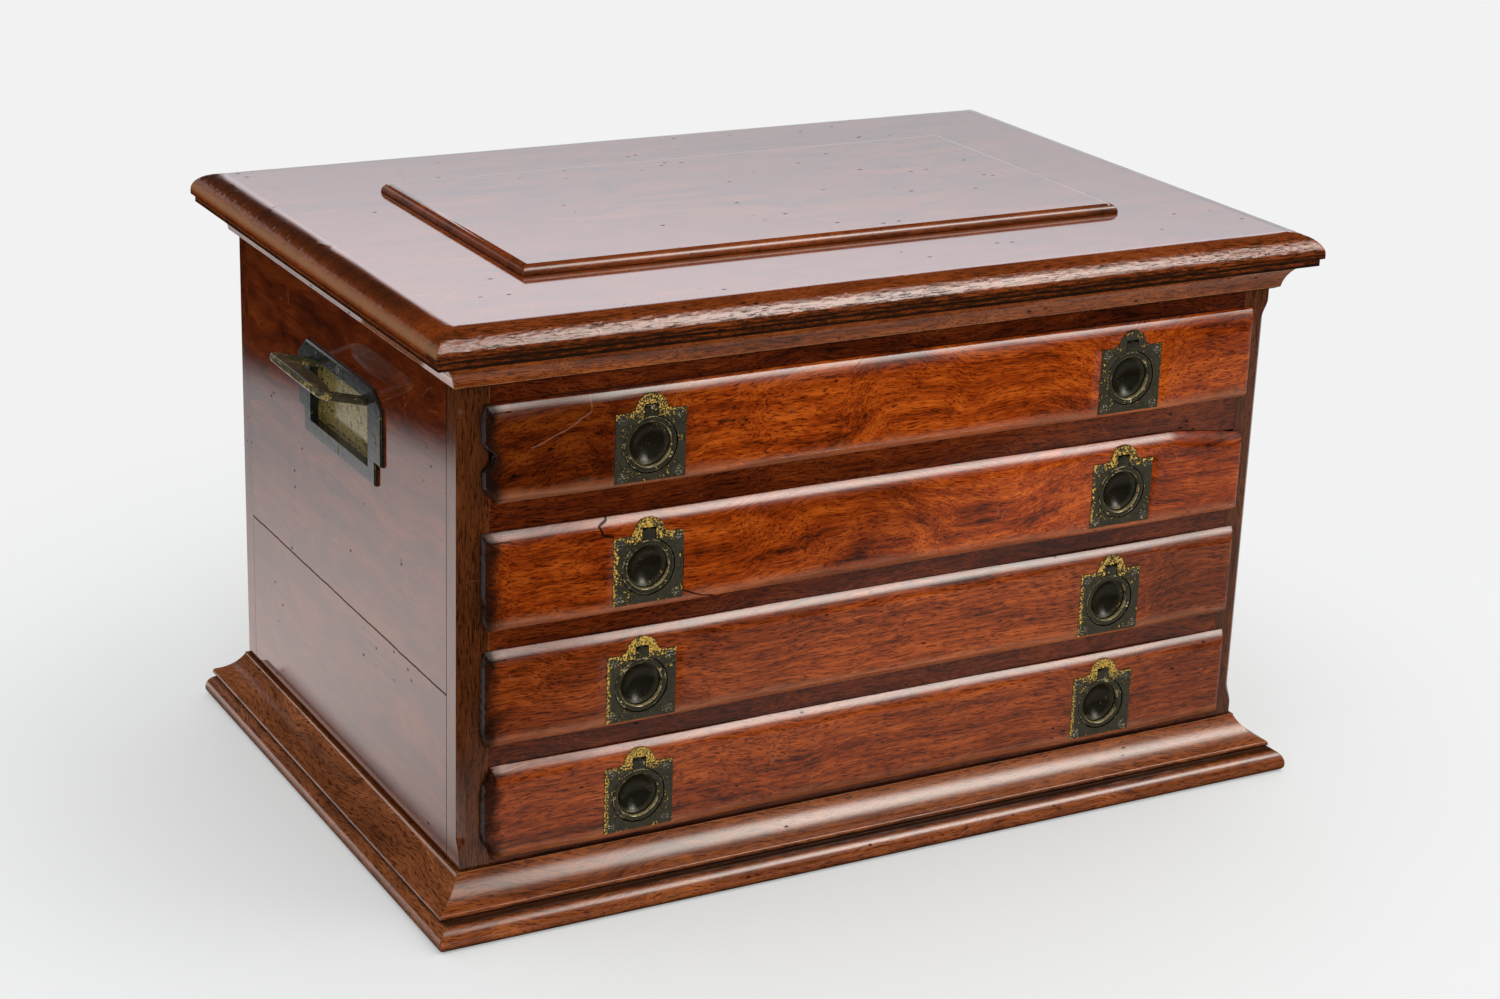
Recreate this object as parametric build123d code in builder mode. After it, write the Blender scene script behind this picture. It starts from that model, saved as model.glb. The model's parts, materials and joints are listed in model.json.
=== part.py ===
"""Table chest of four shallow drawers under a hinged top, with flush ring pulls and side bails.

Millimetres, +Z up. The origin is the middle of the resting face, and the drawers open towards -Y.
"""
import os
from math import cos, radians, sin

from build123d import *

os.makedirs("parts", exist_ok=True)

# ---------------------------------------------------------------- driving dimensions: carcass
case_width = 394.0
case_depth = 255.2
base_thickness = 10.0
bottom_rail_height = 19.1
opening_height = 35.3
rail_heights = (16.0, 15.4, 18.9)  # dividing rails, from the lowest up
top_rail_height = 10.8
stile_width = 12.8
stile_thickness = 12.4
side_thickness = 11.0
lower_board_height = 87.0  # lower of the two boards that are glued up into a side
back_thickness = 10.0
bottom_thickness = 8.0
well_floor_thickness = 4.0
runner_width = 12.0
runner_height = 8.0

# Chamfer on the front corners, run out in lamb's-tongue stops.
chamfer_leg = 3.1
stop_square_bottom = 18.5  # square corner left above the base boards
stop_square_top = 4.4  # square corner left below the rim
stop_length = 10.0

# ---------------------------------------------------------------- driving dimensions: plinth
base_width = 43.0
base_projection_side = 18.0
base_projection_front = 23.1
base_projection_back = 14.4
base_top_radius = 7.0
base_bottom_radius = 2.5
plinth_height = 13.4
plinth_projection = 14.2
plinth_lip = 1.7  # flat top edge of the moulding
plinth_lip_drop = 0.8
plinth_nose_height = 1.9  # convex nose under the hollow
plinth_nose_in = 0.7
plinth_hollow_foot = (-1.0, 0.4)  # direction of the hollow where it leaves the nose

# ---------------------------------------------------------------- driving dimensions: top
lid_gap = 0.3  # running gap between the rim and the top
cornice_height = 12.3
cornice_projection = 9.2
cornice_fillet_drop = 1.2
cornice_toe = 1.6
cornice_toe_rise = 1.1
cornice_hollow_in = 5.5
cornice_hollow_depth = 1.1  # of the hollow, from a straight line between its ends
top_thickness = 14.5
top_overhang = 16.6  # at the front and sides
top_overhang_back = 18.2
nosing_inset = 13.5
nosing_drop = 9.1
nosing_face = 1.9  # upright part under the rounding
nosing_step = 1.6
panel_length = 295.0
panel_depth = 154.0
panel_thickness = 4.2
panel_edge_radius = 3.9

# ---------------------------------------------------------------- driving dimensions: hinges
hinge_length = 38.0
hinge_inset = 77.0  # middle of a hinge from the outside of the carcass
leaf_thickness = 1.2
leaf_width = 8.3  # from the back of the carcass forwards
knuckle_radius = 2.2
knuckle_standoff = 2.5  # pin axis behind the back of the carcass
knuckle_gap = 0.4
hinge_pin_radius = 1.0
running_fit = 0.05  # radial, shaft in hole
hinge_screw_pitch = 12.0

# ---------------------------------------------------------------- driving dimensions: drawers
lip_overlap_side = 3.9
lip_overlap_height = 3.5
lip_thickness = 4.1
lip_edge_radius = 4.0
lip_gap = 0.3
tongue_thickness = 10.0
tongue_clearance = 0.4
drawer_side_thickness = 7.0
drawer_side_height = 30.0
drawer_side_clearance = 0.5
runner_gap = 0.3
drawer_back_thickness = 6.0
drawer_back_drop = 3.0
drawer_back_gap = 6.5  # between a closed drawer and the back
drawer_bottom_thickness = 4.0
groove_depth = 3.0
groove_rise = 5.0  # groove above the lower edge of the sides
groove_play = 0.05

# ---------------------------------------------------------------- driving dimensions: ring pulls
pull_inset = 70.25  # middle of a pull from the end of the front
pull_shift = (2.7, 2.9, 0.9, 0.8)  # each pair is let in a little to the right, drawers 1 to 4
pull_height = (2.5, 3.7, 2.5, 3.4)  # lower edge of the plates above that of the front
pull_width = 31.8
pull_shoulder = 29.6
pull_arch_top = 37.0
pull_ledge = 5.6
pull_turn = (6.4, 33.4)  # where the hollow shoulder meets the round of the arch
pull_thickness = 1.2
pull_proud = 0.2
pull_wall = 1.0
seat_play = 0.12
ring_centre = 15.2
ring_outer = 12.0
ring_inner = 9.5
ring_thickness = 2.6
ring_edge_radius = 0.9
ring_gap = 0.35
dish_radius = 9.3
dish_depth = 7.0
stem_width = 5.6
pin_height = 31.0
pin_radius = 0.8
pin_reach = 1.6  # beyond each side of the stem
pull_screw_inset = 3.0
pull_screw_rise = 2.6
screw_head_radius = 2.0
screw_head_depth = 1.1
screw_shank_radius = 1.0
screw_length = 9.0
screw_slot_width = 0.5
screw_slot_depth = 0.4
screw_head_play = 0.05

# ---------------------------------------------------------------- driving dimensions: side bails
handle_height = 184.5  # middle of the plate above the floor
handle_half_height = 21.2
handle_top_half = 39.0  # half lengths of the top edge, the ears and the foot
handle_ear_half = 48.5
handle_foot_half = 41.5
handle_ear_top = 14.0  # above the middle of the plate
handle_ear_drop = 10.8  # below the middle of the plate
handle_thickness = 3.0
handle_proud = 1.5  # of the side; the rest is let into it
handle_bevel = 0.6
well_half_length = 34.1
well_bottom = 14.6  # below the middle of the plate
well_top = 15.1  # above the middle of the plate
well_depth = 5.8
well_wall = 1.4
well_end_wall = 3.0
bail_length = 66.0
bail_reach = 22.0
bail_bar = 6.0
bail_arm = 5.4
bail_thickness = 3.0
bail_corner_radius = 5.0
bail_edge_radius = 0.8
bail_pivot_rise = 13.0  # above the middle of the plate
bail_pivot_depth = 1.5  # behind the face of the plate
bail_pin_radius = 0.9
bail_pin_length = 2.4
bail_raised = 14.0  # degrees above the horizontal, where the arms lie against the plate

# ---------------------------------------------------------------- places that follow from them
overall_depth = base_projection_front + case_depth + top_overhang_back
front_y = -overall_depth / 2 + base_projection_front
back_y = front_y + case_depth
middle_y = (front_y + back_y) / 2
half_width = case_width / 2
half_depth = case_depth / 2
rail_back_y = front_y + stile_thickness
back_panel_y = back_y - back_thickness
inner_x = half_width - side_thickness
opening_x = half_width - stile_width

opening_floors = [base_thickness + bottom_rail_height]
for rail_height in rail_heights:
    opening_floors.append(opening_floors[-1] + opening_height + rail_height)
well_floor_z = opening_floors[-1] + opening_height
case_top = well_floor_z + top_rail_height
opening_floors.reverse()  # drawer 1 is the uppermost

lid_bottom = case_top + lid_gap
top_bottom = lid_bottom + cornice_height
top_top = top_bottom + top_thickness
hinge_y = back_y + knuckle_standoff
hinge_z = case_top + lid_gap / 2


def finish(builder, name):
    """Label a finished piece and write its file."""
    builder.part.label = name
    export_step(builder.part, f"parts/{name}.step")


def block(x_range, y_range, z_range, mode=Mode.ADD):
    """A plain board between two limits on each axis."""
    sizes = [high - low for low, high in (x_range, y_range, z_range)]
    centre = [(low + high) / 2 for low, high in (x_range, y_range, z_range)]
    with Locations(tuple(centre)):
        Box(*sizes, mode=mode)


def both_sides(x_inner, x_outer):
    """The limits on X of a left and a right piece."""
    return ((-x_outer, -x_inner), (x_inner, x_outer))


def screw(place, grow=0.0, slotted=True):
    """A countersunk wood screw with its head flush with the place's plane."""
    with BuildPart() as blank:
        with BuildSketch(Plane.XZ):
            with BuildLine():
                Polyline(
                    (0, 0),
                    (screw_head_radius + grow, 0),
                    (screw_shank_radius, -screw_head_depth - grow),
                    (screw_shank_radius, -screw_length),
                    (0, -screw_length),
                    close=True,
                )
            make_face()
        revolve(axis=Axis.Z)
        if slotted:
            Box(3 * screw_head_radius, screw_slot_width, 2 * screw_slot_depth, mode=Mode.SUBTRACT)
    return blank.part.moved(place.location)


# ---------------------------------------------------------------- mitred runs round the carcass
def cut_mitres(nx, ny, half_x, half_y, centre_y):
    """Mitre both ends of a run whose outer side faces (nx, ny), at the corners of a rectangle."""
    for end in (-1, 1):
        corner = (
            (nx - end * ny) * half_x,
            centre_y + (ny + end * nx) * half_y,
            0,
        )
        split(
            bisect_by=Plane(origin=corner, z_dir=(-end * ny - nx, end * nx - ny, 0)),
            keep=Keep.BOTTOM,
        )


def run_plane(nx, ny, half_x, half_y, centre_y):
    """The plane of a run's section: X points out of the face, Y points up."""
    origin = (nx * half_x, centre_y + ny * half_y, 0)
    return Plane(origin=origin, x_dir=(nx, ny, 0), z_dir=(ny, -nx, 0))


def case_run(section, nx, ny):
    """One mitred length of a moulding that goes round the carcass."""
    with BuildPart() as run:
        with BuildSketch(run_plane(nx, ny, half_width, half_depth, middle_y)):
            add(section)
        extrude(amount=case_width, both=True)
        cut_mitres(nx, ny, half_width, half_depth, middle_y)
    return run.part


base_half_x = half_width + base_projection_side
base_front_y = front_y - base_projection_front
base_back_y = back_y + base_projection_back
base_half_y = (base_back_y - base_front_y) / 2
base_middle_y = (base_back_y + base_front_y) / 2


def base_run(nx, ny):
    """One mitred board of the base, with its outer edge rounded."""
    with BuildPart() as run:
        with BuildSketch(run_plane(nx, ny, base_half_x, base_half_y, base_middle_y)):
            Rectangle(base_width, base_thickness, align=(Align.MAX, Align.MIN))
            fillet(vertices().group_by(Axis.Y)[-1].sort_by(Axis.X)[-1], radius=base_top_radius)
            fillet(vertices().group_by(Axis.Y)[0].sort_by(Axis.X)[-1], radius=base_bottom_radius)
        extrude(amount=case_width, both=True)
        cut_mitres(nx, ny, base_half_x, base_half_y, base_middle_y)
    return run.part


def plinth_section():
    """A hollow over a rounded nose, under a narrow flat lip."""
    toe = base_thickness
    head = base_thickness + plinth_height
    hollow_top = (plinth_lip, head - plinth_lip_drop)
    hollow_end = (plinth_projection - plinth_nose_in, toe + plinth_nose_height)
    with BuildSketch() as outline:
        with BuildLine():
            Polyline((0, toe), (0, head), (plinth_lip, head), hollow_top)
            TangentArc(hollow_end, hollow_top, tangent=plinth_hollow_foot)
            TangentArc((plinth_projection, toe), hollow_end, tangent=(0, 1))
            Line((plinth_projection, toe), (0, toe))
        make_face()
    return outline.sketch


def cornice_section(inner):
    """A hollow under a flat fillet, with a small toe on the rim, back to the inner face."""
    fillet_bottom = (cornice_projection, top_bottom - cornice_fillet_drop)
    hollow_bottom = (cornice_projection - cornice_hollow_in, lid_bottom + cornice_toe_rise)
    with BuildSketch() as outline:
        with BuildLine():
            Polyline((-inner, top_bottom), (cornice_projection, top_bottom), fillet_bottom)
            SagittaArc(fillet_bottom, hollow_bottom, -cornice_hollow_depth)
            Polyline(
                hollow_bottom,
                (cornice_toe, lid_bottom),
                (-inner, lid_bottom),
                (-inner, top_bottom),
            )
        make_face()
    return outline.sketch


# ---------------------------------------------------------------- base and plinth
with BuildPart() as base_front:
    add(base_run(0, -1))
finish(base_front, "base_front")

with BuildPart() as base_back:
    add(base_run(0, 1))
finish(base_back, "base_back")

with BuildPart() as base_sides:
    add(base_run(-1, 0))
    add(base_run(1, 0))
finish(base_sides, "base_sides")

with BuildPart() as plinth_moulding_front:
    add(case_run(plinth_section(), 0, -1))
finish(plinth_moulding_front, "plinth_moulding_front")

with BuildPart() as plinth_moulding_back:
    add(case_run(plinth_section(), 0, 1))
finish(plinth_moulding_back, "plinth_moulding_back")

with BuildPart() as plinth_moulding_sides:
    add(case_run(plinth_section(), -1, 0))
    add(case_run(plinth_section(), 1, 0))
finish(plinth_moulding_sides, "plinth_moulding_sides")


# ---------------------------------------------------------------- side bails: plate and its seat
handle_x = -half_width - handle_proud  # face of the left plate
handle_place = Plane(
    origin=(handle_x, middle_y, handle_height), x_dir=(0, -1, 0), z_dir=(-1, 0, 0)
)
bail_pivot_x = handle_x + bail_pivot_depth
bail_pivot_z = handle_height + bail_pivot_rise
handle_end_screw = (well_half_length + well_end_wall + handle_ear_half) / 2
handle_screw_spots = (
    (0, (well_top + handle_half_height) / 2),
    (0, -(well_bottom + handle_half_height) / 2),
    (-handle_end_screw, 0),
    (handle_end_screw, 0),
)


def handle_outline():
    """A long plate with cut upper corners, an ear at each end and a narrower foot."""
    with BuildSketch() as outline:
        with BuildLine():
            Polyline(
                (0, handle_half_height),
                (handle_top_half, handle_half_height),
                (handle_ear_half, handle_ear_top),
                (handle_ear_half, -handle_ear_drop),
                (handle_foot_half, -handle_ear_drop),
                (handle_foot_half, -handle_half_height),
                (0, -handle_half_height),
            )
            mirror(about=Plane.YZ)
        make_face()
    return outline.sketch


def well_outline(side_wall, end_wall):
    """The hand well, or the shell round it."""
    with Locations((0, (well_top - well_bottom) / 2)):
        Rectangle(2 * (well_half_length + end_wall), well_top + well_bottom + 2 * side_wall)


def handle_screws_left(grow=0.0, slotted=True):
    """The screws of the left plate."""
    places = [
        Plane(origin=handle_place.from_local_coords((u, v, 0)), z_dir=(-1, 0, 0))
        for u, v in handle_screw_spots
    ]
    return [screw(place, grow, slotted) for place in places]


def handle_blank(play=0.0):
    """Left plate and the outside of its well; play widens them for their seat."""
    with BuildPart() as blank:
        with BuildSketch(handle_place):
            add(handle_outline())
            if play:
                offset(amount=play, kind=Kind.INTERSECTION)
        extrude(amount=-handle_thickness)
        with BuildSketch(handle_place):
            well_outline(well_wall + play, well_end_wall + play)
        extrude(amount=-well_depth - well_wall - play)
    return blank.part


with BuildPart() as handle_plate_left:
    add(handle_blank())
    chamfer(faces().sort_by(Axis.X)[0].edges(), length=handle_bevel)
    with BuildSketch(handle_place):
        well_outline(0, 0)
    extrude(amount=-well_depth, mode=Mode.SUBTRACT)
    with Locations(Location((bail_pivot_x, middle_y, bail_pivot_z), (90, 0, 0))):
        Cylinder(
            bail_pin_radius + running_fit,
            bail_length + 2 * (bail_pin_length + running_fit),
            mode=Mode.SUBTRACT,
        )
    add(handle_screws_left(screw_head_play, slotted=False), mode=Mode.SUBTRACT)
finish(handle_plate_left, "handle_plate_left")

with BuildPart() as handle_plate_right:
    mirror(handle_plate_left.part, about=Plane.YZ)
finish(handle_plate_right, "handle_plate_right")

with BuildPart() as handle_screws:
    add(handle_screws_left())
    mirror(about=Plane.YZ)
finish(handle_screws, "handle_screws")

bail_place = Plane(
    origin=(bail_pivot_x, middle_y, bail_pivot_z),
    x_dir=(0, 1, 0),
    z_dir=(sin(radians(bail_raised)), 0, cos(radians(bail_raised))),
)

with BuildPart() as bail_left:
    with BuildSketch(bail_place):
        Rectangle(bail_length, bail_reach, align=(Align.CENTER, Align.MIN))
        fillet(vertices().group_by(Axis.Y)[-1], radius=bail_corner_radius)
        Rectangle(
            bail_length - 2 * bail_arm,
            bail_reach - bail_bar,
            align=(Align.CENTER, Align.MIN),
            mode=Mode.SUBTRACT,
        )
    extrude(amount=bail_thickness / 2, both=True)
    fillet(edges().filter_by(GeomType.LINE).group_by(SortBy.LENGTH)[-1], radius=bail_edge_radius)
    with Locations(bail_place):
        for end in (-1, 1):
            with Locations(Location((end * (bail_length - bail_arm) / 2, 0, 0), (0, 90, 0))):
                Cylinder(bail_thickness / 2, bail_arm)
            with Locations(Location((end * (bail_length + bail_pin_length) / 2, 0, 0), (0, 90, 0))):
                Cylinder(bail_pin_radius, bail_pin_length)
finish(bail_left, "bail_left")

with BuildPart() as bail_right:
    mirror(bail_left.part, about=Plane.YZ)
finish(bail_right, "bail_right")


# ---------------------------------------------------------------- carcass
side_y = (rail_back_y, back_panel_y)
side_joint_z = base_thickness + lower_board_height

with BuildPart() as side_left_upper:
    block((-half_width, -inner_x), side_y, (side_joint_z, case_top))
    add(handle_blank(seat_play), mode=Mode.SUBTRACT)
    add(handle_screws_left(slotted=False), mode=Mode.SUBTRACT)
finish(side_left_upper, "side_left_upper")

with BuildPart() as side_right_upper:
    mirror(side_left_upper.part, about=Plane.YZ)
finish(side_right_upper, "side_right_upper")

with BuildPart() as side_left_lower:
    block((-half_width, -inner_x), side_y, (base_thickness, side_joint_z))
finish(side_left_lower, "side_left_lower")

with BuildPart() as side_right_lower:
    mirror(side_left_lower.part, about=Plane.YZ)
finish(side_right_lower, "side_right_lower")

with BuildPart() as stile_right:
    block((opening_x, half_width), (front_y, rail_back_y), (base_thickness, case_top))
    # The chamfer's cut, drawn across the corner: X outwards on the diagonal, Y up.
    with BuildSketch(Plane(origin=(half_width, front_y, 0), x_dir=(1, -1, 0), z_dir=(-1, -1, 0))):
        depth = chamfer_leg * cos(radians(45))
        low = base_thickness + stop_square_bottom
        high = case_top - stop_square_top
        with BuildLine():
            Spline((0, low), (-depth, low + stop_length), tangents=((0, 1), (0, 1)))
            Line((-depth, low + stop_length), (-depth, high - stop_length))
            Spline((-depth, high - stop_length), (0, high), tangents=((0, 1), (0, 1)))
            Polyline((0, high), (depth, high), (depth, low), (0, low))
        make_face()
    extrude(amount=stile_width, both=True, mode=Mode.SUBTRACT)
finish(stile_right, "stile_right")

with BuildPart() as stile_left:
    mirror(stile_right.part, about=Plane.YZ)
finish(stile_left, "stile_left")

with BuildPart() as front_rails:
    rail_tops = [base_thickness, *(floor + opening_height for floor in reversed(opening_floors))]
    rail_ends = [*reversed(opening_floors), case_top]
    for low, high in zip(rail_tops, rail_ends):
        block((-opening_x, opening_x), (front_y, rail_back_y), (low, high))
finish(front_rails, "front_rails")

with BuildPart() as drawer_runners:
    for floor in opening_floors:
        for x_range in both_sides(inner_x - runner_width, inner_x):
            block(x_range, side_y, (floor - runner_height, floor))
finish(drawer_runners, "drawer_runners")

with BuildPart() as bottom_board:
    block((-inner_x, inner_x), side_y, (base_thickness, base_thickness + bottom_thickness))
finish(bottom_board, "bottom_board")

with BuildPart() as well_floor:
    block((-inner_x, inner_x), side_y, (well_floor_z - well_floor_thickness, well_floor_z))
finish(well_floor, "well_floor")


# ---------------------------------------------------------------- hinges
segment = (hinge_length - 2 * knuckle_gap) / 3
leaf_y = (back_y - leaf_width, hinge_y)
leaf_screw_y = back_y - (leaf_width - knuckle_gap) / 2
hinge_centres = (hinge_inset - half_width, half_width - hinge_inset)


def barrel(x, length, radius, mode=Mode.ADD):
    """A cylinder on the hinge axis."""
    with Locations(Location((x, hinge_y, hinge_z), (0, 90, 0))):
        Cylinder(radius, length, mode=mode)


def leaf_screws(up, slotted=True):
    """The screws of both leaves, heads up in the rim or heads down in the top."""
    height, facing = (case_top, 1) if up else (lid_bottom, -1)
    grow = 0.0 if slotted else screw_head_play
    spots = [centre + step * hinge_screw_pitch for centre in hinge_centres for step in (-1, 0, 1)]
    return [
        screw(Plane(origin=(x, leaf_screw_y, height), z_dir=(0, 0, facing)), grow, slotted)
        for x in spots
    ]


def hinge_leaves(z_range, own_segments, pin_hole_radius, up):
    """Two leaves with their knuckles; the other leaf's knuckles keep a clear space."""
    pitch = segment + knuckle_gap
    with BuildPart() as leaves:
        for centre in hinge_centres:
            block((centre - hinge_length / 2, centre + hinge_length / 2), leaf_y, z_range)
            for place in (-1, 0, 1):
                if place not in own_segments:
                    clear = segment + 2 * knuckle_gap
                    barrel(
                        centre + place * pitch, clear, knuckle_radius + knuckle_gap, Mode.SUBTRACT
                    )
            for place in own_segments:
                barrel(centre + place * pitch, segment, knuckle_radius)
            barrel(centre, 2 * hinge_length, pin_hole_radius, Mode.SUBTRACT)
        add(leaf_screws(up, slotted=False), mode=Mode.SUBTRACT)
    return leaves.part


def leaf_seats(z_range):
    """The recesses that the leaves are let into."""
    for centre in hinge_centres:
        half = hinge_length / 2 + running_fit
        block((centre - half, centre + half), (leaf_y[0], hinge_y), z_range, mode=Mode.SUBTRACT)


with BuildPart() as back_panel:
    block((-half_width, half_width), (back_panel_y, back_y), (base_thickness, case_top))
    leaf_seats((case_top - leaf_thickness, case_top))
    add(leaf_screws(True, slotted=False), mode=Mode.SUBTRACT)
finish(back_panel, "back_panel")

with BuildPart() as hinge_leaves_lower:
    add(hinge_leaves((case_top - leaf_thickness, case_top), (-1, 1), hinge_pin_radius, True))
finish(hinge_leaves_lower, "hinge_leaves_lower")

with BuildPart() as hinge_leaves_upper:
    add(
        hinge_leaves(
            (lid_bottom, lid_bottom + leaf_thickness), (0,), hinge_pin_radius + running_fit, False
        )
    )
finish(hinge_leaves_upper, "hinge_leaves_upper")

with BuildPart() as hinge_pins:
    for centre in hinge_centres:
        barrel(centre, hinge_length, hinge_pin_radius)
finish(hinge_pins, "hinge_pins")

with BuildPart() as hinge_screws_lower:
    add(leaf_screws(True))
finish(hinge_screws_lower, "hinge_screws_lower")

with BuildPart() as hinge_screws_upper:
    add(leaf_screws(False))
finish(hinge_screws_upper, "hinge_screws_upper")


# ---------------------------------------------------------------- top
with BuildPart() as cornice_front:
    add(case_run(cornice_section(stile_thickness), 0, -1))
finish(cornice_front, "cornice_front")

with BuildPart() as cornice_back:
    add(case_run(cornice_section(back_thickness), 0, 1))
    leaf_seats((lid_bottom, lid_bottom + leaf_thickness))
    for centre in hinge_centres:
        notch_half = hinge_length / 2 + knuckle_gap
        block(
            (centre - notch_half, centre + notch_half),
            (hinge_y - knuckle_radius - knuckle_gap, back_y + cornice_projection),
            (lid_bottom, hinge_z + knuckle_radius + knuckle_gap),
            mode=Mode.SUBTRACT,
        )
    add(leaf_screws(False, slotted=False), mode=Mode.SUBTRACT)
finish(cornice_back, "cornice_back")

with BuildPart() as cornice_sides:
    add(case_run(cornice_section(side_thickness), -1, 0))
    add(case_run(cornice_section(side_thickness), 1, 0))
finish(cornice_sides, "cornice_sides")

top_half_width = half_width + top_overhang
top_front_y = front_y - top_overhang
top_back_y = back_y + top_overhang_back


def top_section(low, high):
    """The board's section between two edges, with a worked nosing on each."""
    round_bottom = top_top - nosing_drop
    step_z = round_bottom - nosing_face
    middle = (low + high) / 2
    half = (high - low) / 2
    with BuildSketch() as outline:
        with BuildLine():
            Line((middle, top_top), (middle + half - nosing_inset, top_top))
            EllipticalCenterArc(
                (middle + half - nosing_inset, round_bottom), nosing_inset, nosing_drop, arc_size=90
            )
            Polyline(
                (middle + half, round_bottom),
                (middle + half, step_z),
                (middle + half - nosing_step, step_z),
                (middle + half - nosing_step, top_bottom),
                (middle, top_bottom),
            )
            mirror(about=Plane(origin=(middle, 0, 0), z_dir=(1, 0, 0)))
        make_face()
    return outline.sketch


with BuildPart() as top_board:
    with BuildSketch(Plane.XZ):
        add(top_section(-top_half_width, top_half_width))
    extrude(amount=overall_depth, both=True)
    with BuildSketch(Plane.YZ):
        add(top_section(top_front_y, top_back_y))
    extrude(amount=case_width, both=True, mode=Mode.INTERSECT)
finish(top_board, "top_board")

with BuildPart() as raised_panel:
    with Locations((0, middle_y, top_top)):
        Box(
            panel_length,
            panel_depth,
            panel_thickness,
            align=(Align.CENTER, Align.CENTER, Align.MIN),
        )
    fillet(edges().group_by(Axis.Z)[-1], radius=panel_edge_radius)
finish(raised_panel, "raised_panel")


# ---------------------------------------------------------------- ring pulls
# A pull is drawn at the origin: X to the right, Y up from the plate's lower edge, and Z out of
# the drawer front, whose face is at Z = 0.
pull_bed = pull_proud - pull_thickness
ring_back = pull_proud - ring_thickness
ring_floor = ring_back - ring_gap
ring_axis_depth = ring_back + ring_thickness / 2
pin_end_radius = ring_thickness / 2
shell_back = ring_floor - pull_wall
ring_hole_radius = ring_outer + ring_gap
slot_width = stem_width + 2 * ring_gap
slot_top = pin_height + pin_end_radius + ring_gap
pull_screw_spots = [
    (side * (pull_width / 2 - pull_screw_inset), height)
    for side in (-1, 1)
    for height in (pull_screw_rise, pull_shoulder - pull_screw_rise)
]


def pull_outline():
    """A square plate under a low arch with hollow shoulders."""
    half = pull_width / 2
    ledge = (half - pull_ledge, pull_shoulder)
    with BuildSketch() as outline:
        with BuildLine():
            Polyline((0, 0), (half, 0), (half, pull_shoulder), ledge)
            TangentArc(ledge, pull_turn, tangent=(-1, 0))
            TangentArc((0, pull_arch_top), pull_turn, tangent=(1, 0))
            mirror(about=Plane.YZ)
        make_face()
    return outline.sketch


def bowl(radius, rim, bottom):
    """The solid that fills a round bowl under the middle of the ring."""
    with BuildPart() as filling:
        with BuildSketch(Plane(origin=(0, ring_centre, 0), x_dir=(1, 0, 0), z_dir=(0, -1, 0))):
            with BuildLine():
                TangentArc((0, bottom), (radius, rim), tangent=(1, 0))
                Polyline((radius, rim), (0, rim), (0, bottom))
            make_face()
        revolve(axis=Axis((0, ring_centre, 0), (0, 0, 1)))
    return filling.part


def pull_blank(play=0.0):
    """Plate and the outside of its hollows; play widens them for their seat."""
    with BuildPart() as blank:
        with BuildSketch(Plane.XY.offset(pull_proud)):
            add(pull_outline())
            if play:
                offset(amount=play)
        extrude(amount=-pull_thickness)
        with BuildSketch(Plane.XY.offset(pull_bed)):
            with Locations((0, ring_centre)):
                Circle(ring_hole_radius + pull_wall + play)
                Rectangle(
                    slot_width + 2 * (pin_reach + play),
                    slot_top - ring_centre + pull_wall + play,
                    align=(Align.CENTER, Align.MIN),
                )
        extrude(amount=shell_back - play - pull_bed)
        add(bowl(dish_radius + pull_wall + play, shell_back, -dish_depth - pull_wall - play))
    return blank.part


def pull_plate():
    """One plate, with its ring groove, stem slot, dish, pin hole and countersinks."""
    with BuildPart() as plate:
        add(pull_blank())
        with BuildSketch(Plane.XY.offset(pull_proud)):
            with Locations((0, ring_centre)):
                Circle(ring_hole_radius)
                Rectangle(slot_width, slot_top - ring_centre, align=(Align.CENTER, Align.MIN))
        extrude(amount=ring_floor - pull_proud, mode=Mode.SUBTRACT)
        add(bowl(dish_radius, ring_floor, -dish_depth), mode=Mode.SUBTRACT)
        with Locations(Location((0, pin_height, ring_axis_depth), (0, 90, 0))):
            Cylinder(
                pin_radius + running_fit,
                stem_width + 2 * (pin_reach + running_fit),
                mode=Mode.SUBTRACT,
            )
        add(pull_screw_set(screw_head_play, slotted=False), mode=Mode.SUBTRACT)
    return plate.part


def pull_screw_set(grow=0.0, slotted=True):
    """The four screws of one plate."""
    return [
        screw(Plane(origin=(x, y, pull_proud), z_dir=(0, 0, 1)), grow, slotted)
        for x, y in pull_screw_spots
    ]


def pull_ring():
    """A flat ring with a stem and the pin that it turns on."""
    with BuildPart() as ring:
        with BuildSketch(Plane.XY.offset(ring_back)):
            with Locations((0, ring_centre)):
                Circle(ring_outer)
                Circle(ring_inner, mode=Mode.SUBTRACT)
        extrude(amount=ring_thickness)
        fillet(edges(), radius=ring_edge_radius)
        with BuildSketch(Plane.XY.offset(ring_back)):
            with Locations((0, pin_height)):
                Rectangle(
                    stem_width,
                    pin_height - ring_centre - (ring_inner + ring_outer) / 2,
                    align=(Align.CENTER, Align.MAX),
                )
        extrude(amount=ring_thickness)
        with Locations(Location((0, pin_height, ring_axis_depth), (0, 90, 0))):
            Cylinder(pin_end_radius, stem_width)
            Cylinder(pin_radius, stem_width + 2 * pin_reach)
    return ring.part


def pull_place(drawer, side, face_y, front_z):
    """Where a pull sits: the lower middle of its plate on the drawer front."""
    x = side * (lip_half_width - pull_inset) + pull_shift[drawer]
    z = front_z + pull_height[drawer]
    return Plane(origin=(x, face_y, z), x_dir=(1, 0, 0), z_dir=(0, -1, 0))


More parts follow.
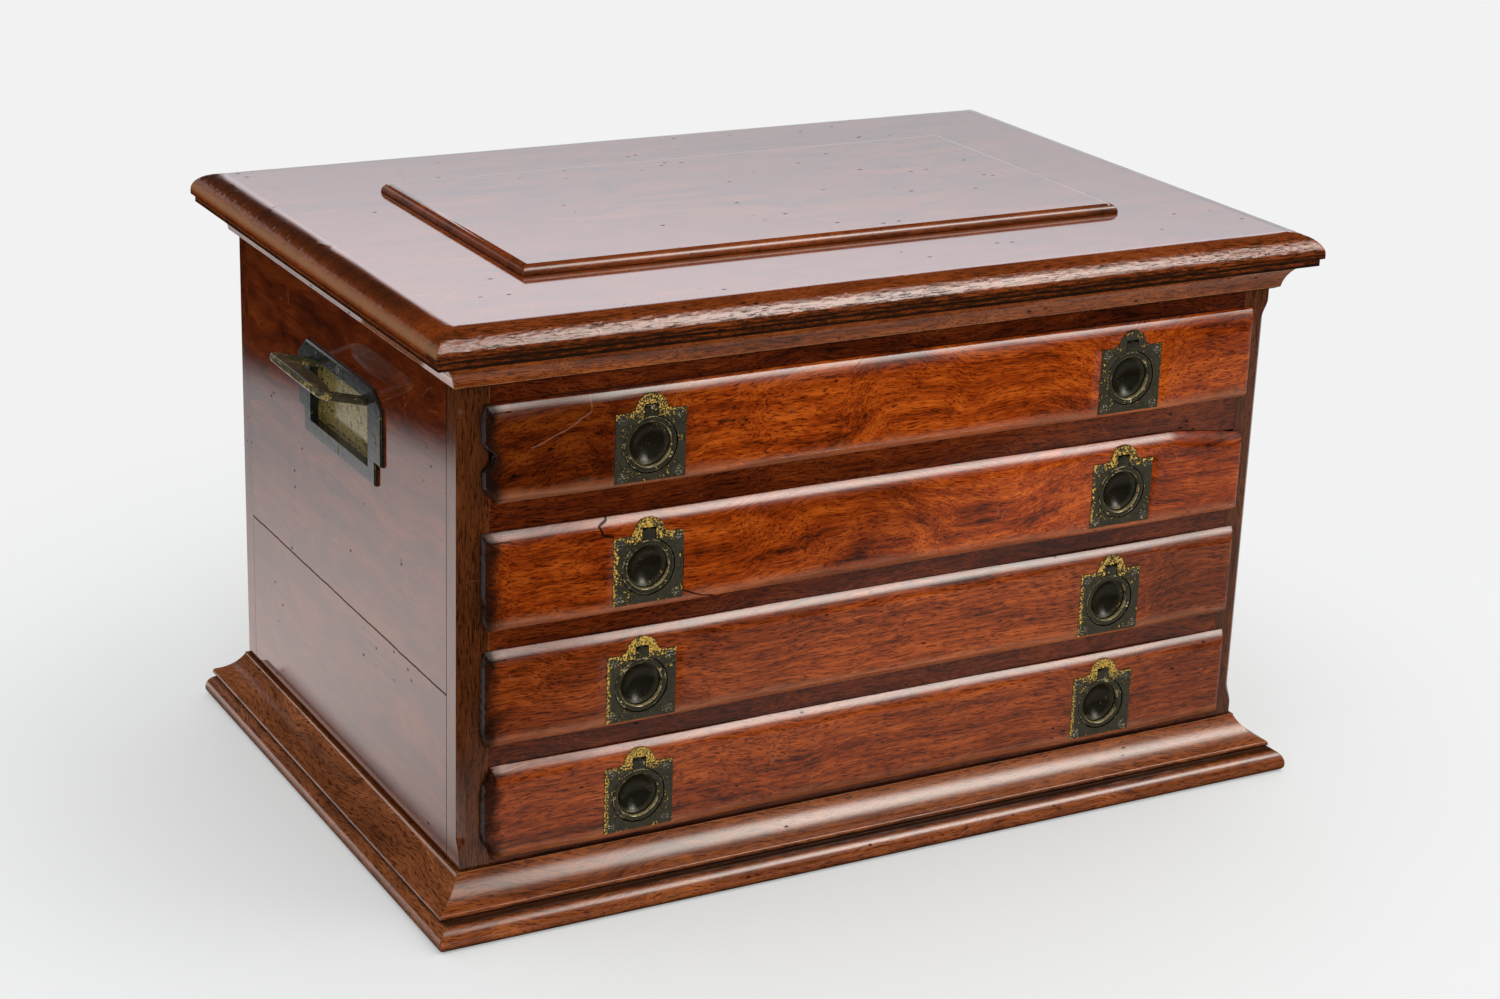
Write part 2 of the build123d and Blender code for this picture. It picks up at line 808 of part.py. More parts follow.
# ---------------------------------------------------------------- drawers
lip_back_y = front_y - lip_gap
face_y = lip_back_y - lip_thickness
tongue_back_y = lip_back_y + tongue_thickness
lip_half_width = opening_x + lip_overlap_side
tongue_half_width = opening_x - tongue_clearance
drawer_half_width = opening_x - drawer_side_clearance
drawer_end_y = back_panel_y - drawer_back_gap
drawer_inner_x = drawer_half_width - drawer_side_thickness

plate_blank = pull_blank(seat_play)
plate_part = pull_plate()
ring_part = pull_ring()

for number, floor in enumerate(opening_floors):
    name = f"drawer_{number + 1}"
    front_z = floor - lip_overlap_height
    side_z = floor + runner_gap
    bottom_z = side_z + groove_rise
    places = {
        "left": pull_place(number, -1, face_y, front_z).location,
        "right": pull_place(number, 1, face_y, front_z).location,
    }

    with BuildPart() as front:
        block(
            (-lip_half_width, lip_half_width),
            (face_y, lip_back_y),
            (front_z, front_z + opening_height + 2 * lip_overlap_height),
        )
        fillet(faces().sort_by(Axis.Y)[0].edges(), radius=lip_edge_radius)
        block(
            (-tongue_half_width, tongue_half_width),
            (lip_back_y, tongue_back_y),
            (floor + tongue_clearance, floor + opening_height - tongue_clearance),
        )
        block(
            (-drawer_inner_x - groove_depth, drawer_inner_x + groove_depth),
            (tongue_back_y - groove_depth, tongue_back_y),
            (bottom_z - groove_play, bottom_z + drawer_bottom_thickness + groove_play),
            mode=Mode.SUBTRACT,
        )
        for place in places.values():
            add(plate_blank.moved(place), mode=Mode.SUBTRACT)
            for fixing in pull_screw_set(slotted=False):
                add(fixing.moved(place), mode=Mode.SUBTRACT)
    finish(front, f"{name}_front")

    with BuildPart() as box:
        for x_range in both_sides(drawer_inner_x, drawer_half_width):
            block(x_range, (tongue_back_y, drawer_end_y), (side_z, side_z + drawer_side_height))
        block(
            (-drawer_inner_x - groove_depth, drawer_inner_x + groove_depth),
            (tongue_back_y, drawer_end_y),
            (bottom_z - groove_play, bottom_z + drawer_bottom_thickness + groove_play),
            mode=Mode.SUBTRACT,
        )
        block(
            (-drawer_inner_x, drawer_inner_x),
            (drawer_end_y - drawer_back_thickness, drawer_end_y),
            (
                bottom_z + drawer_bottom_thickness + groove_play,
                side_z + drawer_side_height - drawer_back_drop,
            ),
        )
    finish(box, f"{name}_box")

    with BuildPart() as bottom:
        block(
            (
                -drawer_inner_x - groove_depth + groove_play,
                drawer_inner_x + groove_depth - groove_play,
            ),
            (tongue_back_y - groove_depth + groove_play, drawer_end_y),
            (bottom_z, bottom_z + drawer_bottom_thickness),
        )
    finish(bottom, f"{name}_bottom")

    with BuildPart() as pull_plates:
        for place in places.values():
            add(plate_part.moved(place))
    finish(pull_plates, f"{name}_pull_plates")

    with BuildPart() as pull_screws:
        for place in places.values():
            for fixing in pull_screw_set():
                add(fixing.moved(place))
    finish(pull_screws, f"{name}_pull_screws")

    for side, place in places.items():
        with BuildPart() as ring:
            add(ring_part.moved(place))
        finish(ring, f"{name}_ring_{side}")
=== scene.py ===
"""Looks for an old mahogany table chest: figured and polished wood, worn brass, and the stage."""
import json
import math

import bmesh
import bpy
from mathutils import Matrix, Vector, noise


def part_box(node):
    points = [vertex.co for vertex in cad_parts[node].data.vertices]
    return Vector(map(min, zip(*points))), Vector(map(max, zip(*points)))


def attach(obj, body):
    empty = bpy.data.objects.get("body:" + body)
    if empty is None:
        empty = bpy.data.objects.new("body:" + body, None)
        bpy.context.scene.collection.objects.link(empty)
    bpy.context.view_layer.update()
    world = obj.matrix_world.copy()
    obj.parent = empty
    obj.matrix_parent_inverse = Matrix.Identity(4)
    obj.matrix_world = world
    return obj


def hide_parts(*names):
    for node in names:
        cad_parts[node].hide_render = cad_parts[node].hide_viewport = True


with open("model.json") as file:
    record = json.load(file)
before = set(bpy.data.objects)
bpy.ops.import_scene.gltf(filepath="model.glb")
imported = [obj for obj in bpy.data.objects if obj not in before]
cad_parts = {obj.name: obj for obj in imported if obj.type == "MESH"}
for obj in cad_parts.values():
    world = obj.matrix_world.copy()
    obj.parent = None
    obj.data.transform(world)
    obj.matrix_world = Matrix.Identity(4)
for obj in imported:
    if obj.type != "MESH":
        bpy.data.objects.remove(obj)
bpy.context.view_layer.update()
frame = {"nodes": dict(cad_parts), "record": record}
NODES = frame["nodes"]
BODY_OF = {
    node: body
    for body, members in frame["record"]["behaviour"]["bodies"].items()
    for node in members
}
MM = 0.001


# ---------------------------------------------------------------- camera
CAMERA_PLACE = Vector((-0.6289, -1.1332, 0.5798))
CAMERA_FORWARD = Vector((0.45912655, 0.82226492, -0.33627847))
CAMERA_ROLL = 0.036
CAMERA_LENS = 70.8  # on a sensor 36 mm wide


def place_camera():
    level = CAMERA_FORWARD.cross(Vector((0, 0, 1))).normalized()
    upright = level.cross(CAMERA_FORWARD)
    right = level * math.cos(CAMERA_ROLL) + upright * math.sin(CAMERA_ROLL)
    up = upright * math.cos(CAMERA_ROLL) - level * math.sin(CAMERA_ROLL)
    lens = bpy.data.cameras.new("camera")
    lens.lens = CAMERA_LENS
    lens.sensor_width = 36.0
    lens.sensor_fit = "HORIZONTAL"
    lens.clip_start = 0.01
    camera = bpy.data.objects.new("camera", lens)
    turn = Matrix((right, up, -CAMERA_FORWARD)).transposed().to_4x4()
    camera.matrix_world = Matrix.Translation(CAMERA_PLACE) @ turn
    bpy.context.scene.collection.objects.link(camera)
    bpy.context.scene.camera = camera


# ---------------------------------------------------------------- the mixing bench
class Socket:
    """An output of a node, with arithmetic that adds Math nodes."""

    def __init__(self, bench, socket):
        self.bench = bench
        self.socket = socket

    def maths(self, operation, *values):
        return self.bench.node("Math", {"operation": operation}, values)

    def __add__(self, other):
        return self.maths("ADD", self, other)

    __radd__ = __add__

    def __sub__(self, other):
        return self.maths("SUBTRACT", self, other)

    def __rsub__(self, other):
        return self.maths("SUBTRACT", other, self)

    def __mul__(self, other):
        return self.maths("MULTIPLY", self, other)

    __rmul__ = __mul__

    def __abs__(self):
        return self.maths("ABSOLUTE", self)

    def __or__(self, other):
        """The larger of the two."""
        return self.maths("MAXIMUM", self, other)

    def fade(self, start, end):
        """0 where the value is at start, 1 where it is at end, and smooth between."""
        return self.bench.node(
            "MapRange", {"interpolation_type": "SMOOTHSTEP"}, {0: self, 1: start, 2: end}
        )


class Bench:
    """A node tree, and the few kinds of pattern that every finish is mixed from."""

    def __init__(self, tree):
        self.tree = tree
        tree.nodes.clear()

    def node(self, kind, settings, values, out=0):
        """Adds a node of one kind, and gives back one of its outputs."""
        made = self.tree.nodes.new("ShaderNode" + kind)
        for key, value in settings.items():
            if key == "stops":
                ramp = made.color_ramp
                while len(ramp.elements) < len(value):
                    ramp.elements.new(1.0)
                for element, (position, colour) in zip(ramp.elements, value):
                    element.position = position
                    element.color = (*colour, 1.0)
            else:
                setattr(made, key, value)
        pairs = values.items() if isinstance(values, dict) else enumerate(values)
        for key, value in pairs:
            if isinstance(value, Socket):
                self.tree.links.new(value.socket, made.inputs[key])
            else:
                made.inputs[key].default_value = value
        return Socket(self, made.outputs[out])

    def place(self, scale=(1, 1, 1), turn=(0, 0, 0), shift=(0, 0, 0), start=None):
        """Object coordinates, or others, scaled, turned and shifted."""
        start = start or self.node("TexCoord", {}, {}, out="Object")
        values = {"Vector": start, "Location": shift, "Rotation": turn, "Scale": scale}
        return self.node("Mapping", {}, values)

    def axis(self, name):
        """One of the object coordinates, in metres."""
        return self.node("SeparateXYZ", {}, (self.node("TexCoord", {}, {}, out="Object"),), name)

    def vector(self, operation, values, out="Vector"):
        """A step of vector arithmetic."""
        return self.node("VectorMath", {"operation": operation}, values, out)

    def towards(self, vector, direction):
        """How far a vector reaches in a direction."""
        return self.vector("DOT_PRODUCT", (vector, direction), "Value")

    def cloud(self, place, detail=2.0, rough=0.5, bend=0.0):
        """Noise around 0.5."""
        values = {
            "Vector": place, "Scale": 1.0, "Detail": detail, "Roughness": rough,
            "Distortion": bend,
        }
        return self.node("TexNoise", {}, values)

    def cells(self, place):
        """Distance to the nearest of a scatter of points."""
        return self.node("TexVoronoi", {}, {"Vector": place, "Scale": 1.0}, "Distance")

    def rubbed(self):
        """1 on the arrises that finished_copy and worn_lip mark, 0 elsewhere."""
        return self.node("Attribute", {"attribute_name": "arris"}, {}, "Fac")

    def ray(self, kind):
        """1 for rays of one kind, such as Camera or Glossy."""
        return self.node("LightPath", {}, {}, f"Is {kind} Ray")

    def glow(self, colour):
        return self.node("Emission", {}, {"Color": colour})

    def either(self, factor, first, second):
        """The second of two shaders where factor is 1."""
        return self.node("MixShader", {}, {0: factor, 1: first, 2: second})

    def over(self, factor, below, above, mode="MIX"):
        """One colour over another, through the colour sockets of a Mix node."""
        below, above = (
            value if isinstance(value, Socket) else (*value, 1.0) for value in (below, above)
        )
        settings = {"data_type": "RGBA", "blend_type": mode, "clamp_factor": True}
        return self.node("Mix", settings, {0: factor, 6: below, 7: above}, out=2)

    def within(self, value):
        """The value, held between 0 and 1."""
        return self.node("Clamp", {}, (value,))

    def hollows(self, reach):
        """1 in corners and recesses narrower than reach, 0 in the open."""
        return 1.0 - self.node("AmbientOcclusion", {"samples": 4}, {"Distance": reach}, "AO")

    def relief(self, height, depth, under=None):
        """Bump from a height between 0 and 1 that stands for a depth in metres."""
        values = {"Height": height, "Distance": depth, "Strength": 1.0}
        if under:
            values["Normal"] = under
        return self.node("Bump", {}, values, out="Normal")


class Finish(Bench):
    """A material and the shader at its end."""

    def __init__(self, name, fixed=None):
        self.material = bpy.data.materials.new(name)
        self.material.use_nodes = True
        super().__init__(self.material.node_tree)
        self.shader = self.tree.nodes.new("ShaderNodeBsdfPrincipled")
        for key, value in (fixed or {}).items():
            self.shader.inputs[key].default_value = value
        self.show(Socket(self, self.shader.outputs[0]))

    def show(self, surface):
        """Makes a shader the one that is seen."""
        output = self.tree.nodes.new("ShaderNodeOutputMaterial")
        self.tree.links.new(surface.socket, output.inputs["Surface"])
        output.is_active_output = True

    def feed(self, key, value):
        """Leads a value to one of the shader's sockets."""
        self.tree.links.new(value.socket, self.shader.inputs[key])


# ---------------------------------------------------------------- wood
AXES = {"x": 0, "y": 1, "z": 2}
# the dark of grime, burns and splits, also laid as painted shade in recesses and as painted
# shadow lines
GRIME_AND_SHADE = (0.007, 0.0045, 0.003)
PORE_TINT = (0.30, 0.20, 0.14)  # what open pores leave of the colour
SCRATCHED = (0.30, 0.13, 0.06)
RUBBED_ARRIS = (0.27, 0.105, 0.036)
SWELL_DEPTH = 0.42 * MM  # of the slow unevenness of a hand-planed board
RASP_DEPTH = 0.20 * MM
PORE_DEPTH = 0.06 * MM


def stretched(along, length, width):
    """Scale of a pattern that is long on one axis and narrow on the others, in metres."""
    scale = [1.0 / width] * 3
    scale[AXES[along]] = 1.0 / length
    return tuple(scale)


def mahogany(name, along, colours, seed=0.0, flow=0.03, figure=0.0, figure_turn=0.5, streaks=0.5,
             porous=1.0, dirt_and_shade_amount=1.0, wear=0.5, coat=1.0, gloss=0.09, rough=0.38, marks=None,
             rasped=None):
    """Old polished mahogany, its grain along one axis and wandering by flow."""
    dark, middle, light = colours
    wood = Finish(
        name,
        {"Coat Roughness": gloss, "Coat IOR": 1.5, "IOR": 1.45, "Specular IOR Level": 0.0},
    )
    shift = (seed * 1.7, seed * 3.1, seed * 2.3)
    sway = (wood.cloud(wood.place((13, 13, 13), shift=shift), 2.0, 0.4) - 0.5) * flow
    sway = wood.node("CombineXYZ", {}, {key: sway for key in "XYZ" if key != along.upper()})
    grain = wood.node("TexCoord", {}, {}, out="Object")
    grain = wood.vector("ADD", (grain, sway))

    def layer(length, width, detail, roughness, bend=0.0):
        """Noise drawn out along the grain, to a length and width in metres."""
        place = wood.place(stretched(along, length, width), shift=shift, start=grain)
        return wood.cloud(place, detail, roughness, bend)

    bands = layer(0.26, 0.010, 3.0, 0.5, 0.6)
    fibres = layer(0.024, 0.0013, 4.0, 0.65, 0.2)
    mottle = layer(0.030, 0.012, 3.0, 0.6, 0.8)
    pore = layer(0.0055, 0.00048, 2.0, 0.5).fade(0.53, 0.62)
    fleck = layer(0.0026, 0.0009, 2.0, 0.5).fade(0.60, 0.68)

    tone = bands * 0.36 + fibres * (0.30 + 0.20 * streaks) + mottle * (0.34 - 0.20 * streaks)
    if figure:
        turn = [0.0, 0.0, 0.0]
        turn[0 if along == "y" else 1] = figure_turn
        swirl = wood.cloud(wood.place((11, 11, 11), shift=shift), 1.0, 0.5, 0.0)
        curls = wood.cloud(wood.place((14, 60, 85), tuple(turn), shift), 4.0, 0.6, 1.6)
        tone = tone + (curls - 0.5) * figure * swirl.fade(0.36, 0.58)
    stops = ((0.35, dark), (0.49, middle), (0.63, light))
    colour = wood.node("ValToRGB", {"stops": stops}, (tone,))
    darker = wood.within((pore * 0.9 + fleck * 0.3) * porous)
    colour = wood.over(darker, colour, PORE_TINT, "MULTIPLY")

    # Dirt and painted shade in the recesses, found by ambient occlusion, a scatter of dark nicks,
    # and hairline scratches.
    patches = wood.cloud(wood.place((75, 75, 75), shift=shift), 4.0, 0.68)
    dirt_and_shade = wood.hollows(0.007) * dirt_and_shade_amount
    dirt_and_shade = (dirt_and_shade + (patches - 0.5) * 0.9 * dirt_and_shade.fade(0.0, 0.25)).fade(0.18, 0.75)
    nicks = wood.cells(wood.place(stretched(along, 0.011, 0.006), shift=shift))
    chosen = wood.cloud(wood.place((41, 41, 41), shift=shift), 1.0).fade(0.56, 0.60)
    nick = (1.0 - nicks.fade(0.05, 0.15)) * chosen
    lines = wood.cloud(wood.place((55, 55, 55), shift=shift), 0.0)
    scratch = (1.0 - abs(lines - 0.5).fade(0.0, 0.005)) * patches.fade(0.56, 0.64)
    rub = wood.rubbed() * patches.fade(0.40, 0.60) * wear
    colour = wood.over(dirt_and_shade * 0.93, colour, GRIME_AND_SHADE)
    colour = wood.over(nick * 0.85, colour, GRIME_AND_SHADE)
    colour = wood.over(scratch * 0.4, colour, SCRATCHED)
    colour = wood.over(rub, colour, RUBBED_ARRIS)
    spoiled = wood.within(dirt_and_shade + rub + nick)
    if marks:
        colour, spoiled = marks(wood, colour, spoiled)

    wood.feed("Base Color", colour)
    wood.feed("Roughness", rough + (patches - 0.5) * 0.2 + spoiled * 0.3)
    wood.feed("Coat Weight", wood.within(coat - spoiled * 0.85))
    swell = wood.cloud(wood.place(stretched(along, 0.10, 0.030), shift=shift), 2.0, 0.45)
    normal = wood.relief(swell, SWELL_DEPTH)
    if rasped:
        normal = wood.relief(rasped(wood), RASP_DEPTH, normal)
    pitted = 1.0 - pore * (0.5 * porous) - nick - scratch * 0.3
    wood.feed("Normal", wood.relief(pitted, PORE_DEPTH, normal))
    return wood.material


def line_mark(wood, points, width, wander=0.6):
    """1 along a crack that runs through points (x, z) of a front, all in millimetres."""
    coordinates = wood.node("TexCoord", {}, {}, out="Object")
    unevenness = {"Vector": coordinates, "Scale": 210.0, "Detail": 3.0}
    drift = wood.node("TexNoise", {}, unevenness, "Color")
    drift = wood.vector("SUBTRACT", (drift, (0.5, 0.5, 0.5)))
    drift = wood.vector("SCALE", {0: drift, "Scale": 2 * wander * MM})
    place = wood.vector("ADD", (coordinates, drift))
    place = wood.vector("MULTIPLY", (place, (1, 0, 1)))
    mark = None
    for (x0, z0), (x1, z1) in zip(points, points[1:]):
        start, run = Vector((x0, 0, z0)) * MM, Vector((x1 - x0, 0, z1 - z0)) * MM
        offset = wood.vector("SUBTRACT", (place, start))
        reach = wood.within(wood.towards(offset, run / run.length_squared))
        nearest = wood.vector("SCALE", {0: run, "Scale": reach})
        distance = wood.vector("DISTANCE", (offset, nearest), "Value")
        here = 1.0 - distance.fade(0.3 * width * MM, width * MM)
        mark = here if mark is None else mark | here
    return mark


# ---------------------------------------------------------------- brass
VERDIGRIS = (0.55, 0.62, 0.62)  # what the greener tarnish leaves of its colour
SOOT = (0.011, 0.008, 0.003)
BRASS_DEPTH = 0.08 * MM


def brass(name, bright, tarnish, cover, seed=0.0, rough=0.34, edge=0.2, speckle=0.75,
          bare_and_highlight=None, sunk=None, soot_and_shade=1.0, shine=0.5):
    """Old brass under a dull skin, bare where the given pattern says, which is wear on plates and
    handles and a painted highlight on the rings, and black where it is sunk.
    """
    metal = Finish(name, {"Specular IOR Level": shine})
    shift = (seed * 2.9, seed * 1.3, seed * 3.7)
    patches = metal.cloud(metal.place((240, 240, 240), shift=shift), 4.0, 0.65)
    grains = metal.cloud(metal.place((1250, 1250, 1250), shift=shift), 2.0, 0.6)
    bare = patches.fade(0.32, 0.68) * (1.0 - speckle) + grains.fade(0.38, 0.62) * speckle
    # bare metal from the given pattern: wear, and on the rings painted highlights along the rims
    if bare_and_highlight:
        bare = bare + bare_and_highlight(metal) * 0.5
    hollow = metal.hollows(0.003) * soot_and_shade
    bare = bare + metal.rubbed() * edge - hollow * 0.4
    skin = 1.0 - bare.fade(cover - 0.05, cover + 0.05)
    green = tuple(part * share for part, share in zip(tarnish, VERDIGRIS))
    old = metal.over(patches.fade(0.42, 0.60), tarnish, green)
    old = metal.over(grains.fade(0.50, 0.62) * 0.6, old, tuple(0.30 * part for part in tarnish))
    worn = metal.over(grains.fade(0.50, 0.62) * 0.7, tuple(0.5 * part for part in bright), bright)
    colour = metal.over(skin, worn, old)
    black = hollow.fade(0.35, 0.85)
    if sunk:
        black = black | sunk(metal)
    colour = metal.over(black * 0.96, colour, SOOT)
    metal.feed("Base Color", colour)
    metal.feed("Metallic", 0.28 - skin * 0.08)
    metal.feed("Roughness", rough + skin * 0.06 + (grains - 0.5) * 0.15 - black * 0.20)
    metal.feed("Normal", metal.relief(patches + grains * 0.5, BRASS_DEPTH))
    return metal.material


# ---------------------------------------------------------------- pieces
ARRIS_BEND = math.radians(35.0)  # edges that turn by more are softened
FLAT_BEND = math.radians(0.4)  # edges that turn by less are dissolved


def finished_copy(node, material, radius=0.4 * MM, segments=2, shape=None):
    """The node's own solid with its arrises softened, and shaped further if shape says how."""
    body = bmesh.new()
    body.from_mesh(NODES[node].data)
    bmesh.ops.remove_doubles(body, verts=body.verts, dist=2e-6)
    bmesh.ops.dissolve_limit(body, angle_limit=FLAT_BEND, verts=body.verts, edges=body.edges)
    arris = body.faces.layers.float.new("arris")
    if radius:
        sharp = [
            edge for edge in body.edges
            if len(edge.link_faces) == 2 and edge.calc_face_angle() > ARRIS_BEND
        ]
        made = bmesh.ops.bevel(
            body, geom=sharp, offset=radius, offset_type="OFFSET", segments=segments,
            profile=0.5, affect="EDGES", clamp_overlap=True,
        )
        for face in made["faces"]:
            face[arris] = 1.0
    if shape:
        shape(body)
    for face in body.faces:
        face.smooth = True
    mesh = bpy.data.meshes.new(node + "_finished")
    body.to_mesh(mesh)
    body.free()
    mesh.materials.append(material)
    piece = bpy.data.objects.new(node + "_finished", mesh)
    bpy.context.scene.collection.objects.link(piece)
    smoothing = piece.modifiers.new("smoothing", "WEIGHTED_NORMAL")
    smoothing.weight = 50
    smoothing.keep_sharp = True
    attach(piece, BODY_OF[node])
    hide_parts(node)


def dress(node, material):
    """A better material for a node whose own shape is right."""
    for slot in NODES[node].material_slots:
        slot.material = material


def cut_grid(body, axis, start, end, step):
    """Cuts the mesh across axis 0, 1 or 2 at even steps, so that it can bend there."""
    direction = Vector((axis == 0, axis == 1, axis == 2))
    for number in range(int((end - start) / step) + 1):
        everything = body.verts[:] + body.edges[:] + body.faces[:]
        bmesh.ops.bisect_plane(
            body, geom=everything, plane_co=direction * (start + number * step),
            plane_no=direction, dist=1e-6,
        )


NOSING_OUT = 13.5 * MM  # the front nosing's rounding, an ellipse
NOSING_DROP = 9.1 * MM
SLOPE_FOOT = 2.2 * MM  # of the worn slope, above the foot of the rounding
SLOPE_HEAD = 6.76 * MM
SLOPE_BACK = 5.5 * MM  # behind the nosing's front, and past the slope
SLOPE_STEP = 0.57 * MM
SLOPE_WEAR = 0.55  # 1 would be flat


def sloped_nosing(body):
    """Flattens the front nosing's rounding to the slope that wear has given it."""
    low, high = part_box("top_board")
    level = high.z - NOSING_DROP

    def reach(rise):
        return NOSING_OUT * math.sqrt(max(0.0, 1.0 - (rise / NOSING_DROP) ** 2))

    foot_reach, head_reach = reach(SLOPE_FOOT), reach(SLOPE_HEAD)
    cut_grid(body, 2, level + SLOPE_FOOT, level + SLOPE_HEAD, SLOPE_STEP)
    for vertex in body.verts:
        rise = vertex.co.z - level
        if SLOPE_FOOT < rise < SLOPE_HEAD and vertex.co.y < low.y + SLOPE_BACK:
            share = (rise - SLOPE_FOOT) / (SLOPE_HEAD - SLOPE_FOOT)
            chord = foot_reach + share * (head_reach - foot_reach)
            vertex.co.y += SLOPE_WEAR * (reach(rise) - chord)
    body.normal_update()


BAR_DEPTH = 6.5 * MM  # what lies nearer the bail's outer side belongs to its bar
GRIP_CUTS = 0.80  # where the bar is cut to bend, as a share of half its length
GRIP_REACH = 0.81  # where the swelling ends
GRIP_SWELL = 0.30  # at the middle, as a share of the bar's thickness


def swelled_grip(node):
    """Swells a bail's bar towards its middle, as its round grip does."""
    low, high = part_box(node)
    middle, half = (low.y + high.y) / 2, (high.y - low.y) / 2
    outer = low.x if low.x < 0 else high.x

    def shape(body):
        cut_grid(body, 1, middle - GRIP_CUTS * half, middle + GRIP_CUTS * half, 0.1 * half)
        bar = [
            vertex for vertex in body.verts
            if abs(vertex.co.x - outer) < BAR_DEPTH
            and abs(vertex.co.y - middle) < GRIP_REACH * half
        ]
        centre_x = sum(vertex.co.x for vertex in bar) / len(bar)
        centre_z = sum(vertex.co.z for vertex in bar) / len(bar)
        for vertex in bar:
            away = (vertex.co.y - middle) / (GRIP_REACH * half)
            swell = GRIP_SWELL * max(0.0, 1.0 - away * away)
            if abs(vertex.co.x) < abs(centre_x):  # never beyond the solid's own reach
                vertex.co.x += 2.0 * swell * (vertex.co.x - centre_x)
            vertex.co.z += swell * (vertex.co.z - centre_z)
        body.normal_update()

    return shape


def bump_at(value, centre, spread):
    """A bell curve."""
    return math.exp(-((value - centre) / spread) ** 2)


LIP_DEPTH = 4.0 * MM  # of the lip's own rounding
LIP_BACK = 4.15 * MM  # nothing behind this is shaped
FOOT_HEIGHT = 5.5 * MM  # of the thumb moulding along the lower edge
CLEAR = 45.0 * MM  # over which the moulding settles beside a plate
ROOM = 4.3 * MM  # over a plate
KNOCKED = 11 * MM  # how far in from its end a lip is knocked about
TOP_WORN = 40 * MM  # how far in from its right end a top corner is worn down


def thumb(distance, height):
    """How far back a thumb moulding lies at a distance from its edge."""
    return LIP_DEPTH * max(0.0, 1.0 - distance / height) ** 2


def quarter(distance):
    """The same for a plain quarter round."""
    inside = max(0.0, LIP_DEPTH - distance)
    return LIP_DEPTH - math.sqrt(max(0.0, LIP_DEPTH ** 2 - inside ** 2))


def worn_lip(node, plates, ends=(), top_right=0.0, seed=0.0, top_height=7.2):
    """A drawer front's lip: thumb moulded between the pull plates, and worn.

    ends is a list of knocks: (side, height from the bottom, depth, spread), and top_right is
    how far the top right corner is worn down. All of these and top_height are in millimetres.
    """
    low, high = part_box(node)
    back = low.y + LIP_BACK
    moulded = top_height * MM

    def over_plate(distance):
        """The same slope over a plate, but shallower, as there is less room for it."""
        return max(0.0, thumb(distance, moulded) - thumb(ROOM, moulded))

    def settled(x):
        """0 over a plate, 1 well clear of both, and smooth between."""
        beside = min(
            min(1.0, max(0.0, max(start - x, x - end) / CLEAR)) for start, end in plates
        )
        return beside * beside * (3.0 - 2.0 * beside)

    def shape(body):
        bmesh.ops.connect_verts_concave(body, faces=body.faces[:])
        # Close columns at the left end, and rows that are closest where the moulding turns.
        cut_grid(body, 0, low.x + 0.6 * MM, low.x + 12 * MM, 1.1 * MM)
        cut_grid(body, 2, low.z + 0.9 * MM, low.z + 6.3 * MM, 0.9 * MM)
        cut_grid(body, 2, low.z + 7.6 * MM, high.z - 9.4 * MM, 1.4 * MM)
        cut_grid(body, 2, high.z - 8.1 * MM, high.z - 0.3 * MM, 0.6 * MM)
        for start, end in plates:
            cut_grid(body, 0, start - CLEAR, start, 5 * MM)
            cut_grid(body, 0, end, end + CLEAR, 5 * MM)
        if top_right:
            cut_grid(body, 0, high.x - 44 * MM, high.x - 1 * MM, 2.2 * MM)
        for vertex in body.verts:
            place = vertex.co
            if place.y > back:
                continue
            above = high.z - place.z
            covered = max(over_plate(above), place.y - low.y)
            hollow = max(
                thumb(above, moulded), thumb(place.z - low.z, FOOT_HEIGHT),
                quarter(min(place.x - low.x, high.x - place.x)),
            )
            place.y = low.y + covered + settled(place.x) * (hollow - covered)
            rise = (place.z - low.z) / MM
            for side, height, depth, spread in ends:
                distance = (place.x - low.x) if side < 0 else (high.x - place.x)
                share = max(0.0, 1.0 - distance / KNOCKED)
                rough = 1.0 + 0.45 * noise.noise(Vector((rise * 0.9, seed, place.y * 700)))
                place.x -= side * share * depth * MM * rough * bump_at(rise, height, spread)
            if place.x < low.x + KNOCKED:
                share = 1.0 - (place.x - low.x) / KNOCKED
                uneven = 0.5 + noise.noise(Vector((rise * 0.45, seed, 3.1)))
                place.x += share * 0.6 * MM * uneven
            if top_right:
                run = min(1.0, max(0.0, (place.x - (high.x - TOP_WORN)) / TOP_WORN))
                lift = min(1.0, max(0.0, (rise - 18) / 22))
                place.z -= top_right * MM * run ** 1.15 * lift
        body.normal_update()
        arris = body.faces.layers.float["arris"]
        for face in body.faces:  # the left end, rubbed where it faces outwards, and given a painted sheen there
            if face.normal.x < -0.78 and face.calc_center_median().y < back:
                face[arris] = 1.0

    return shape


# ---------------------------------------------------------------- stage
VIEW_AXIS = (0.4875, 0.873, 0.0)  # away from the camera, level
VIEW_LEFT = (-0.873, 0.4875, 0.0)
EDGE_ACROSS = (-0.968, 0.252, 0.0)  # across the left edge of the pale table
TABLE_EDGE = 0.522  # how far that edge is from the chest's middle
TABLE_FRONT = -0.30  # the table's near edge, from the chest's middle
FOOTPRINT = (0.215, 0.148)  # half the base, in x and y
WHITE = (0.89, 0.89, 0.895, 1)
TABLE_BEHIND = (0.80, 0.83, 0.86)  # how bright the table shines back from the polish
TABLE_BESIDE = (1.65, 1.47, 1.42)
TABLE_LEFT = (0.42, 0.40, 0.38)
SHADE = (0.10, 0.09, 0.08)  # the chest's own, close to its base
DUSK = (0.014, 0.010, 0.008, 1)
FLOOR_HALF = 6.0
FLOOR_LEVEL = -0.0002


